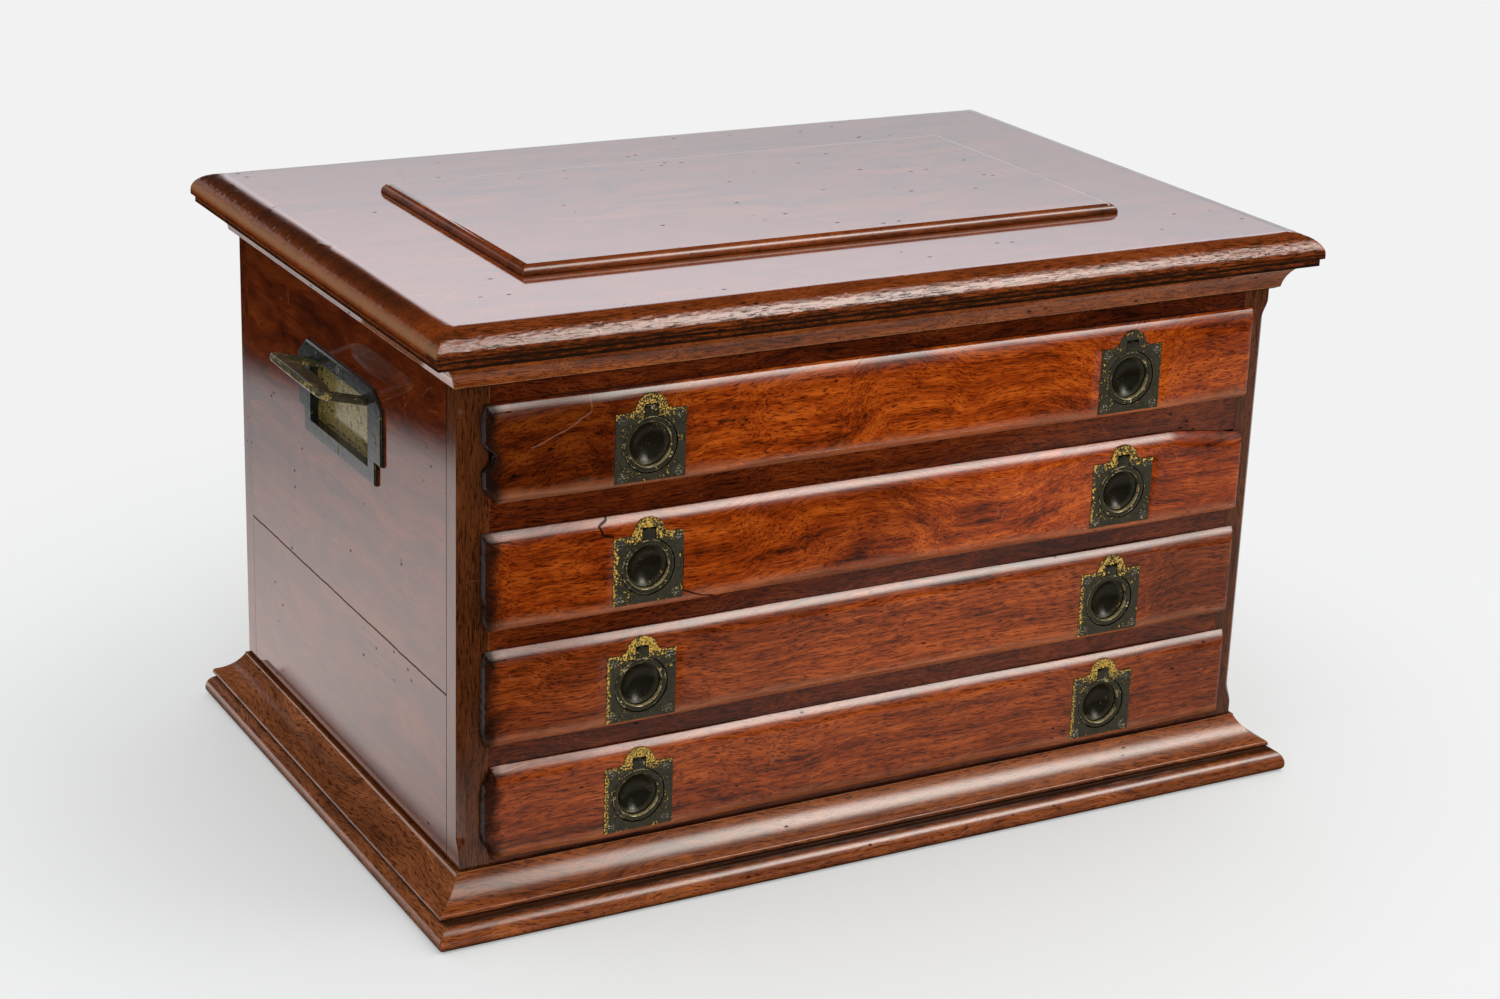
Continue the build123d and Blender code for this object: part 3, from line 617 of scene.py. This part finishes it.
def set_floor():
    """A pale floor, which is a table's edge and a dark room to the polish."""
    corners = [
        (FLOOR_HALF * x, FLOOR_HALF * y, FLOOR_LEVEL)
        for x, y in ((-1, -1), (1, -1), (1, 1), (-1, 1))
    ]
    mesh = bpy.data.meshes.new("floor")
    mesh.from_pydata(corners, [], [(0, 1, 2, 3)])
    floor = bpy.data.objects.new("floor", mesh)
    bpy.context.scene.collection.objects.link(floor)
    fixed = {"Base Color": (0.93, 0.95, 0.925, 1), "Roughness": 0.7, "Specular IOR Level": 0.1}
    paint = Finish("pale_floor", fixed)
    lit = Socket(paint, paint.shader.outputs[0])
    far = paint.vector("LENGTH", (paint.place(),), "Value")
    whitened = (far.fade(0.26, 0.58) * 0.72 + 0.28) * paint.ray("Camera")
    lit = paint.either(whitened, lit, paint.glow(WHITE))
    # Seen in the polish, the table ends and the dark of the room begins.
    from_camera = paint.place(shift=(-CAMERA_PLACE.x, -CAMERA_PLACE.y, 0))
    left = paint.towards(from_camera, VIEW_LEFT)
    ahead = paint.towards(paint.place(), VIEW_AXIS)
    outward = paint.towards(paint.place(), EDGE_ACROSS)
    beyond = outward.fade(TABLE_EDGE - 0.026, TABLE_EDGE + 0.026) | (
        1.0 - ahead.fade(TABLE_FRONT - 0.05, TABLE_FRONT + 0.05)
    )
    pale = paint.over(paint.axis("Y").fade(0.15, 0.62), TABLE_BESIDE, TABLE_BEHIND)
    pale = paint.over(left.fade(0.0, 0.30), TABLE_LEFT, pale)
    aside = (abs(paint.axis("X")) - FOOTPRINT[0]) | (abs(paint.axis("Y")) - FOOTPRINT[1])
    pale = paint.over(aside.fade(0.0, 0.014), SHADE, pale)
    reflected = paint.either(beyond, paint.glow(pale), paint.glow(DUSK))
    paint.show(paint.either(paint.ray("Glossy"), lit, reflected))
    mesh.materials.append(paint.material)


ROOM_AHEAD = (0.030, 0.026, 0.026)  # the room that the polish and the brass mirror
ROOM_BEHIND = (0.10, 0.10, 0.10)
BACKDROP_LOW = (0.85, 1.03, 1.12)
BACKDROP_HIGH = (2.40, 2.38, 2.55)
SOFTBOX = (12.5, 12.3, 11.4)
DAYLIGHT = (0.97, 0.98, 1.0, 1)
DAYLIGHT_LEVEL = 0.86


def set_world():
    """Even light, a white surround, and a softbox and a backdrop that only polish mirrors."""
    world = bpy.data.worlds.new("studio")
    bpy.context.scene.world = world
    world.use_nodes = True
    air = Bench(world.node_tree)
    direction = air.node("TexCoord", {}, {}, "Generated")
    behind = air.towards(direction, VIEW_AXIS)
    height = air.towards(direction, (0.0, 0.0, 1.0))
    backdrop = behind.fade(0.50, 0.80) * (1.0 - height.fade(0.305, 0.375))
    glow = air.over(height.fade(0.20, 0.30), BACKDROP_LOW, BACKDROP_HIGH)
    room = air.over(behind.fade(-0.2, 0.5), ROOM_BEHIND, ROOM_AHEAD)
    mirrored = air.over(backdrop, room, glow)
    right = air.towards(direction, (1.0, 0.0, 0.0))
    back = air.towards(direction, (0.0, 1.0, 0.0))
    across = right.fade(0.27, 0.48) * (1.0 - right.fade(0.56, 0.80))
    skirt = height.fade(0.20, 0.60) * (1.0 - back.fade(-0.25, 0.15))
    core = height.fade(0.53, 0.75) * (1.0 - back.fade(-0.42, -0.14))
    softbox = across * (skirt * 0.10 + core * 0.90)
    mirrored = air.over(softbox, mirrored, SOFTBOX)
    soft = air.node("Background", {}, {"Color": DAYLIGHT, "Strength": DAYLIGHT_LEVEL})
    polish = air.node("Background", {}, {"Color": mirrored, "Strength": 1.0})
    white = air.node("Background", {}, {"Color": WHITE, "Strength": 1.0})
    light = air.either(air.ray("Glossy"), soft, polish)
    light = air.either(air.ray("Camera") | air.ray("Transmission"), light, white)
    output = air.tree.nodes.new("ShaderNodeOutputWorld")
    air.tree.links.new(light.socket, output.inputs["Surface"])


def soft_light(name, place, target, size, power, colour):
    """An area light that is itself seen nowhere."""
    lamp = bpy.data.lights.new(name, "AREA")
    lamp.shape = "RECTANGLE"
    lamp.size, lamp.size_y = size
    lamp.energy = power
    lamp.color = colour
    light = bpy.data.objects.new(name, lamp)
    light.location = place
    light.rotation_euler = (Vector(target) - Vector(place)).to_track_quat("-Z", "Y").to_euler()
    light.visible_camera = False
    light.visible_glossy = False
    bpy.context.scene.collection.objects.link(light)


# ---------------------------------------------------------------- colours
# Each wood is dark, middle and light.
DEEP = ((0.018, 0.0030, 0.0008), (0.085, 0.0125, 0.0018), (0.175, 0.032, 0.0045))
BROWN = ((0.034, 0.0058, 0.0015), (0.215, 0.0360, 0.0048), (0.42, 0.086, 0.0130))
ORANGE = ((0.040, 0.0060, 0.0010), (0.290, 0.0390, 0.0026), (0.56, 0.108, 0.0090))
STILE = ((0.040, 0.0110, 0.0033), (0.088, 0.0230, 0.0056), (0.14, 0.040, 0.0090))
RUBBED = ((0.10, 0.028, 0.0080), (0.22, 0.066, 0.0200), (0.33, 0.110, 0.0380))
EDGES = ((0.075, 0.0150, 0.0030), (0.205, 0.0470, 0.0080), (0.36, 0.095, 0.0180))
BROAD = ((0.110, 0.0220, 0.0042), (0.190, 0.0380, 0.0060), (0.27, 0.058, 0.0095))
LINING = ((0.16, 0.09, 0.045), (0.30, 0.18, 0.095), (0.42, 0.27, 0.15))

GOLD = (0.98, 0.60, 0.105)
TARNISH = (0.050, 0.043, 0.025)
RING = (0.66, 0.52, 0.25)
RING_TARNISH = (0.040, 0.034, 0.019)
HANDLE = (0.42, 0.32, 0.11)
HANDLE_TARNISH = (0.021, 0.022, 0.019)
BAIL = (0.68, 0.49, 0.15)
BAIL_TARNISH = (0.085, 0.075, 0.040)
SCREW = (0.48, 0.41, 0.27)
SCREW_TARNISH = (0.040, 0.036, 0.026)


# ---------------------------------------------------------------- marks of age and use, and painted shade, shadow, highlights and sheen
FRONT_TONES = {  # lighter and darker lengths of each front, from left to right
    1: ((0.0, 0.26), (0.17, 0.31), (0.27, 0.86), (0.8, 1.02), (1.0, 0.84)),
    2: ((0.0, 0.64), (0.32, 0.85), (0.48, 0.70), (0.68, 1.16), (0.92, 0.90)),
    3: ((0.0, 0.78), (0.35, 1.0), (0.55, 1.30), (0.75, 1.0), (0.92, 0.66)),
    4: ((0.0, 0.95), (0.4, 1.08), (0.75, 1.02), (1.0, 0.80)),
}
GLUED_CRACK = (  # (x, z) in millimetres, as the other cracks
    (-141.4, 222.8), (-141.9, 217.0), (-150.4, 211.4), (-163.4, 206.4), (-168, 205),
)
BURN = ((-84, 205.4), (-77, 205.0))
UPPER_SPLIT = ((-132.5, 173), (-133.7, 168.9), (-137.3, 167.2), (-135.9, 163.2), (-131.5, 162))
LOWER_SPLIT = ((-99, 151), (-99, 134), (-92.5, 131.2), (-82, 128.0))
# lighter colour of a front's foot: wear, and a painted reflection of the floor
FOOT_WEAR_AND_SHEEN = (0.40, 0.155, 0.072)
# painted sheen on a front's left end
END_SHEEN = (0.060, 0.054, 0.054)
OLD_GLUE = (0.30, 0.15, 0.09)


def front_marks(number):
    """A front's lighter and darker lengths, its dark ends with a painted sheen on the left one,
    its pale foot, worn and with a painted reflection of the floor, and its cracks.
    """
    low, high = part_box(f"drawer_{number}_front")

    def marks(wood, colour, spoiled):
        x, z = wood.axis("X"), wood.axis("Z")
        edge = wood.cloud(wood.place((90, 90, 90)), 3.0, 0.6)
        drift = wood.cloud(wood.place((22, 60, 60)), 3.0, 0.6)
        along = (x - low.x) * (1.0 / (high.x - low.x)) + (drift - 0.5) * 0.22
        # A ramp holds nothing above 1, so the tones go through it at half their strength.
        stops = tuple((place, (0.5 * tone,) * 3) for place, tone in FRONT_TONES[number])
        tone = wood.node("ValToRGB", {"stops": stops}, (along,)) * 2.0
        colour = wood.vector("SCALE", {0: colour, "Scale": tone})
        ends = 1.0 - (x + (edge - 0.5) * 0.012).fade(low.x + 3 * MM, low.x + 9.5 * MM)
        ends = ends | (x + (edge - 0.5) * 0.006).fade(high.x - 3 * MM, high.x + 1 * MM) * 0.5
        # the pale foot: wear, and a painted reflection of the floor in the lower rounding
        foot = 1.0 - (z + (edge - 0.5) * 0.006).fade(low.z + 2 * MM, low.z + 8 * MM)
        colour = wood.over(foot * 0.40, colour, FOOT_WEAR_AND_SHEEN)
        colour = wood.over(ends * 0.88, colour, GRIME_AND_SHADE)
        spoiled = spoiled | ends * 0.95
        # a painted grey sheen on the left end's rounding
        end_sheen = wood.rubbed() * edge.fade(0.40, 0.60)
        colour = wood.over(end_sheen * 0.6, colour, END_SHEEN)
        if number == 1:
            glued = line_mark(wood, GLUED_CRACK, 0.42, 1.2)
            colour = wood.over(glued * 0.40, colour, OLD_GLUE)
            burn = line_mark(wood, BURN, 1.1)
            colour = wood.over(burn * 0.75, colour, GRIME_AND_SHADE)
        if number == 2:
            split = line_mark(wood, UPPER_SPLIT, 0.8) | line_mark(wood, LOWER_SPLIT, 0.6)
            colour = wood.over(split * 0.95, colour, GRIME_AND_SHADE)
            spoiled = spoiled | split
        return colour, spoiled

    return marks


PLATE_WIDTH = 31.8 * MM
RING_BAND = 2.4 * MM


def plate_gold(number, left, right, upright):
    """Where the pull plates of a drawer are rubbed bare: the arch, and the left edges.

    left and right are how bare each plate is, and upright is how bare the edges are.
    """
    low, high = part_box(f"drawer_{number}_pull_plates")
    width = PLATE_WIDTH

    def bare_and_highlight(metal):
        x, z = metal.axis("X"), metal.axis("Z")
        arch = z.fade(low.z + 25 * MM, low.z + 32 * MM)
        total = None
        for middle, share in ((low.x + width / 2, left), (high.x - width / 2, right)):
            away = abs(x - middle)
            edge = away.fade(0.42 * width, 0.49 * width) * (middle - x).fade(0.0, 0.2 * width)
            edge = edge * upright
            here = (arch | edge) * share * (1.0 - away.fade(0.6 * width, 0.62 * width))
            total = here if total is None else total + here
        return total

    return bare_and_highlight


def well_gold(metal):
    """The back of a handle's well, worn bright by fingers."""
    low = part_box("handle_plate_left")[0]
    depth = abs(low.x) - abs(metal.axis("X"))
    return depth.fade(3.4 * MM, 4.2 * MM) * 1.5


def ring_rim_highlights(number):
    """Painted highlights: fine bright lines along the rims inside and outside the band of each
    ring of a drawer, stronger low on the inner rim.
    """
    (left, left_high), (right, right_high) = (
        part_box(f"drawer_{number}_ring_{side}") for side in ("left", "right")
    )
    radius = (left_high.x - left.x) / 2
    middle = (left.x + right_high.x) / 2
    half = (right.x - left.x) / 2

    def lines(metal):
        away = abs(abs(metal.axis("X") - middle) - half)
        rise = metal.axis("Z") - (left.z + radius)
        reach = metal.node("Math", {"operation": "SQRT"}, (away * away + rise * rise,))
        outer = 1.0 - abs(reach - (radius - 0.2 * MM)).fade(0.12 * MM, 0.27 * MM)
        inner = 1.0 - abs(reach - (radius - RING_BAND)).fade(0.1 * MM, 0.35 * MM)
        low = 1.0 - rise.fade(-0.7 * radius, 0.1 * radius)
        return outer * 0.9 | inner * (0.75 + low * 0.6)

    return lines


def plate_sunk(number):
    """Where the dishes of a drawer's pull plates are deep enough to have gone black."""
    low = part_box(f"drawer_{number}_front")[0]

    def sunk(metal):
        return metal.axis("Y").fade(low.y + 3.0 * MM, low.y + 4.5 * MM) * 0.92

    return sunk


# painted highlight of the panel's far arrises
PANEL_ARRIS_HIGHLIGHT = (0.55, 0.52, 0.50)


def panel_arris_highlight(wood, colour, spoiled):
    """A painted highlight: a pale line along the panel's far arrises, where they catch the light.
    """
    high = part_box("raised_panel")[1]
    x, y = wood.axis("X"), wood.axis("Y")
    far = abs(y - (high.y - 3.9 * MM)) | (x - (high.x - 2 * MM))
    right = abs(x - (high.x - 3.9 * MM)) | (y - (high.y - 2 * MM))
    pale = 1.0 - far.fade(0.3 * MM, 0.8 * MM) * right.fade(0.3 * MM, 0.8 * MM)
    pale = pale * wood.axis("Z").fade(high.z - 0.9 * MM, high.z - 0.5 * MM)
    return wood.over(pale * 0.8, colour, PANEL_ARRIS_HIGHLIGHT), spoiled | pale * 0.9


def dark_lines(wood, heights, width=0.7):
    """1 along level lines, such as painted shadows in the angles of a moulding and dark joints
    between boards.

    The heights are in metres, and the width is in millimetres.
    """
    z = wood.axis("Z")
    uneven = (wood.cloud(wood.place((70, 70, 70)), 3.0, 0.6) - 0.5) * 1.2 * MM
    total = None
    for height in heights:
        here = 1.0 - abs(z + uneven - height).fade(0.35 * width * MM, 1.6 * width * MM)
        total = here if total is None else total | here
    return total


def moulding_shadow_lines(wood, colour, spoiled):
    """Painted shadow lines where the cornice and the plinth moulding meet their neighbours."""
    cornice_low, cornice_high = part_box("cornice_front")
    plinth_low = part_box("plinth_moulding_front")[0]
    heights = (cornice_high.z - 0.6 * MM, cornice_low.z + 0.3 * MM, plinth_low.z)
    lines = dark_lines(wood, heights) * 0.85
    return wood.over(lines, colour, GRIME_AND_SHADE), spoiled | lines


SCORED = (0.022, 0.008, 0.003)
# painted sheen on the left nosing
NOSING_SHEEN = (0.33, 0.185, 0.095)


def front_nosing(wood):
    """1 on the top board's front nosing, 0 behind it."""
    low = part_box("top_board")[0]
    return 1.0 - wood.axis("Y").fade(low.y + 8 * MM, low.y + 12 * MM)


def nosing_relief(wood):
    """Shallow scores along the front nosing, which spread its highlight."""
    scores = wood.cloud(wood.place(stretched("x", 0.022, 0.0011), shift=(7, 2, 6)), 3.0, 0.6)
    return (scores - 0.5) * front_nosing(wood)


def nosing_marks(wood, colour, spoiled):
    """Scores along the front nosing and painted shadow lines along its steps; on the left nosing,
    painted shade at the top towards the back and a painted sheen below it.
    """
    low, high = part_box("top_board")
    x, y, z = wood.axis("X"), wood.axis("Y"), wood.axis("Z")
    nosing = front_nosing(wood)
    lower = 1.0 - z.fade(high.z - 9 * MM, high.z - 5 * MM)
    scores = wood.cloud(wood.place(stretched("x", 0.0060, 0.00055), shift=(3, 1, 4)), 4.0, 0.7)
    worse = wood.cloud(wood.place(stretched("x", 0.040, 0.010), shift=(5, 9, 2)), 2.0, 0.5)
    scored = (scores + (worse - 0.5) * 0.30 + lower * 0.06).fade(0.52, 0.58) * nosing
    colour = wood.over(scored * 0.85, colour, SCORED)
    # painted shadow lines under the nosing's steps and along the top board's lower edge
    lines = dark_lines(wood, (high.z - 11.0 * MM, low.z + 0.5 * MM), 0.9) * 0.9
    lines = lines | dark_lines(wood, (high.z - 9.2 * MM,), 0.5) * nosing * 0.7
    colour = wood.over(lines, colour, GRIME_AND_SHADE)
    corner = low.x - low.y
    mitre = (x - y).fade(corner - 1 * MM, corner + 1 * MM)
    left = (1.0 - x.fade(low.x + 8 * MM, low.x + 13 * MM)) * (1.0 - mitre)
    # painted shade on the left nosing, darker towards its top and its back
    soot_and_shade = left * z.fade(high.z - 6 * MM, high.z - 1 * MM)
    soot_and_shade = soot_and_shade * y.fade(low.y + 5 * MM, low.y + 60 * MM)
    colour = wood.over(soot_and_shade * 0.75, colour, GRIME_AND_SHADE)
    # a painted sheen in a band lower on the left nosing
    nosing_sheen = left * z.fade(high.z - 9.5 * MM, high.z - 7.5 * MM)
    nosing_sheen = nosing_sheen * z.fade(high.z - 3.5 * MM, high.z - 6.5 * MM)
    colour = wood.over(nosing_sheen * 0.55, colour, NOSING_SHEEN)
    return colour, spoiled | scored * 0.9 | lines | left * 0.85


def side_marks(wood, colour, spoiled):
    """The joint between the two boards of a side, and the joint of the side and its stile."""
    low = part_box("side_left_upper")[0]
    seams = dark_lines(wood, (low.z,), 0.45)
    seams = seams | (1.0 - abs(wood.axis("Y") - low.y).fade(0.3 * MM, 0.9 * MM))
    return wood.over(seams * 0.9, colour, GRIME_AND_SHADE), spoiled | seams


# ---------------------------------------------------------------- dress the chest
place_camera()
set_floor()
set_world()
soft_light("upper_right", (0.74, -0.30, 1.50), (0, 0, 0.15), (1.0, 1.0), 4.0, (1, 0.97, 0.95))
soft_light("front", (-0.35, -2.5, 1.05), (0, 0, 0.12), (1.6, 1.2), 12.0, (1, 0.98, 0.96))

wood_front = [
    mahogany("drawer_1_wood", "x", ORANGE, 1.0, 0.05, 0.42, 0.45, 0.4, marks=front_marks(1)),
    mahogany("drawer_2_wood", "x", ORANGE, 2.4, 0.05, 0.42, -0.5, 0.4, marks=front_marks(2)),
    mahogany("drawer_3_wood", "x", BROWN, 3.3, 0.02, 0.0, 0.0, 0.8, marks=front_marks(3)),
    mahogany("drawer_4_wood", "x", BROWN, 4.9, 0.02, 0.0, 0.0, 0.8, marks=front_marks(4)),
]
wood_x = mahogany("case_wood_x", "x", DEEP, 5.3)
wood_y = mahogany("case_wood_y", "y", DEEP, 6.1, porous=0.35, streaks=0.2, gloss=0.06,
                  marks=side_marks)
wood_z = mahogany("case_wood_z", "z", STILE, 7.7, flow=0.01, streaks=0.3)
top_wood = mahogany("top_wood", "x", BROAD, 8.2, porous=0.8, streaks=0.2, wear=0.8,
                    marks=nosing_marks, rasped=nosing_relief)
panel_wood = mahogany("panel_wood", "x", BROAD, 9.6, 0.06, 0.8, porous=0.7, streaks=0.2,
                      marks=panel_arris_highlight)
mould_x = mahogany("moulding_wood_x", "x", EDGES, 10.4, streaks=0.3, wear=0.9,
                   marks=moulding_shadow_lines)
mould_y = mahogany("moulding_wood_y", "y", RUBBED, 11.4, streaks=0.3, wear=0.9,
                   marks=moulding_shadow_lines)
lining = mahogany("lining_wood", "y", LINING, 12.0, dirt_and_shade_amount=0.5, wear=0.0, coat=0.0, rough=0.6)

PLATE_BARE = {  # how bare the left plate, the right plate and their left edges are
    1: (0.8, 0.1, 0.0), 2: (1.0, 0.7, 0.7), 3: (1.25, 0.9, 0.8), 4: (1.1, 1.2, 0.8),
}
plate_metal = [
    brass(f"plate_brass_{number}", GOLD, TARNISH, 0.96, number, bare_and_highlight=plate_gold(number, *bare),
          sunk=plate_sunk(number), shine=0.36)
    for number, bare in PLATE_BARE.items()
]
# the rings' bright rims are painted highlights
ring_metal = [
    brass(f"ring_brass_{number}", RING, RING_TARNISH, 0.88, 6.0 + number, 0.24, speckle=0.3,
          bare_and_highlight=ring_rim_highlights(number), shine=0.4)
    for number in range(1, 5)
]
handle_metal = brass("handle_brass", HANDLE, HANDLE_TARNISH, 0.97, 7.0, 0.08, edge=0.62,
                     speckle=0.25, bare_and_highlight=well_gold, soot_and_shade=0.45, shine=0.34)
bail_metal = brass("bail_brass", BAIL, BAIL_TARNISH, 0.75, 8.0, 0.28, edge=0.15, speckle=0.3)
hinge_metal = brass("hinge_brass", GOLD, TARNISH, 0.85, 9.0)
screw_metal = brass("screw_brass", SCREW, SCREW_TARNISH, 0.80, 10.0, edge=0.75)

for node, material, slot in (
    ("top_board", top_wood, "top_mahogany"),
    ("raised_panel", panel_wood, "top_mahogany"),
    ("cornice_front", mould_x, "moulding_mahogany"),
    ("cornice_back", mould_x, "moulding_mahogany"),
    ("cornice_sides", mould_y, "moulding_mahogany"),
    ("plinth_moulding_front", mould_x, "moulding_mahogany"),
    ("plinth_moulding_back", mould_x, "moulding_mahogany"),
    ("plinth_moulding_sides", mould_y, "moulding_mahogany"),
    ("base_front", mould_x, "moulding_mahogany"),
    ("base_back", mould_x, "moulding_mahogany"),
    ("base_sides", mould_y, "moulding_mahogany"),
    ("front_rails", wood_x, "case_mahogany"),
    ("stile_left", wood_z, "case_mahogany"),
    ("stile_right", wood_z, "case_mahogany"),
    ("side_left_upper", wood_y, "case_mahogany"),
    ("side_left_lower", wood_y, "case_mahogany"),
    ("side_right_upper", wood_y, "case_mahogany"),
    ("side_right_lower", wood_y, "case_mahogany"),
    ("back_panel", wood_x, "case_mahogany"),
):
    radius = 0.25 * MM if slot == "case_mahogany" else 0.4 * MM
    shape = sloped_nosing if node == "top_board" else None
    finished_copy(node, material, radius, shape=shape)

LIP_WEAR = {  # the knocks at each lip's left end, and what else has worn it
    1: dict(ends=((-1, 20.0, 5.0, 3.6), (-1, 0.0, 6.5, 5.0), (-1, 42.0, 1.5, 4.0)), seed=1.0,
            top_height=9.0),
    2: dict(ends=((-1, 12.0, 0.9, 2.0), (-1, 0.0, 2.5, 4.0)), top_right=5.0, seed=2.0),
    3: dict(ends=((-1, 0.0, 2.0, 3.0), (-1, 42.0, 1.5, 3.0)), seed=3.0),
    4: dict(ends=((-1, 0.0, 6.0, 7.0), (-1, 42.0, 4.5, 6.0)), seed=4.0),
}
for number in range(1, 5):
    name = f"drawer_{number}"
    left_box, right_box = (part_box(f"{name}_ring_{side}") for side in ("left", "right"))
    middles = [(low.x + high.x) / 2 for low, high in (left_box, right_box)]
    plates = [(middle - PLATE_WIDTH / 2, middle + PLATE_WIDTH / 2) for middle in middles]
    shape = worn_lip(name + "_front", plates, **LIP_WEAR[number])
    finished_copy(name + "_front", wood_front[number - 1], 0.0, shape=shape)
    finished_copy(name + "_pull_plates", plate_metal[number - 1], 0.15 * MM)
    for side in ("left", "right"):
        finished_copy(f"{name}_ring_{side}", ring_metal[number - 1], 0.0)
    finished_copy(name + "_pull_screws", screw_metal, 0.16 * MM, 1)
    dress(name + "_box", lining)
    dress(name + "_bottom", lining)

for side in ("left", "right"):
    finished_copy("handle_plate_" + side, handle_metal, 0.3 * MM)
    finished_copy("bail_" + side, bail_metal, 0.9 * MM, 3,
                  shape=swelled_grip("bail_" + side))

for node in ("well_floor", "bottom_board", "drawer_runners"):
    dress(node, lining)
for node in ("hinge_leaves_lower", "hinge_leaves_upper", "hinge_pins"):
    dress(node, hinge_metal)
for node in ("hinge_screws_lower", "hinge_screws_upper", "handle_screws"):
    dress(node, screw_metal)

bpy.context.scene.view_settings.view_transform = "Standard"
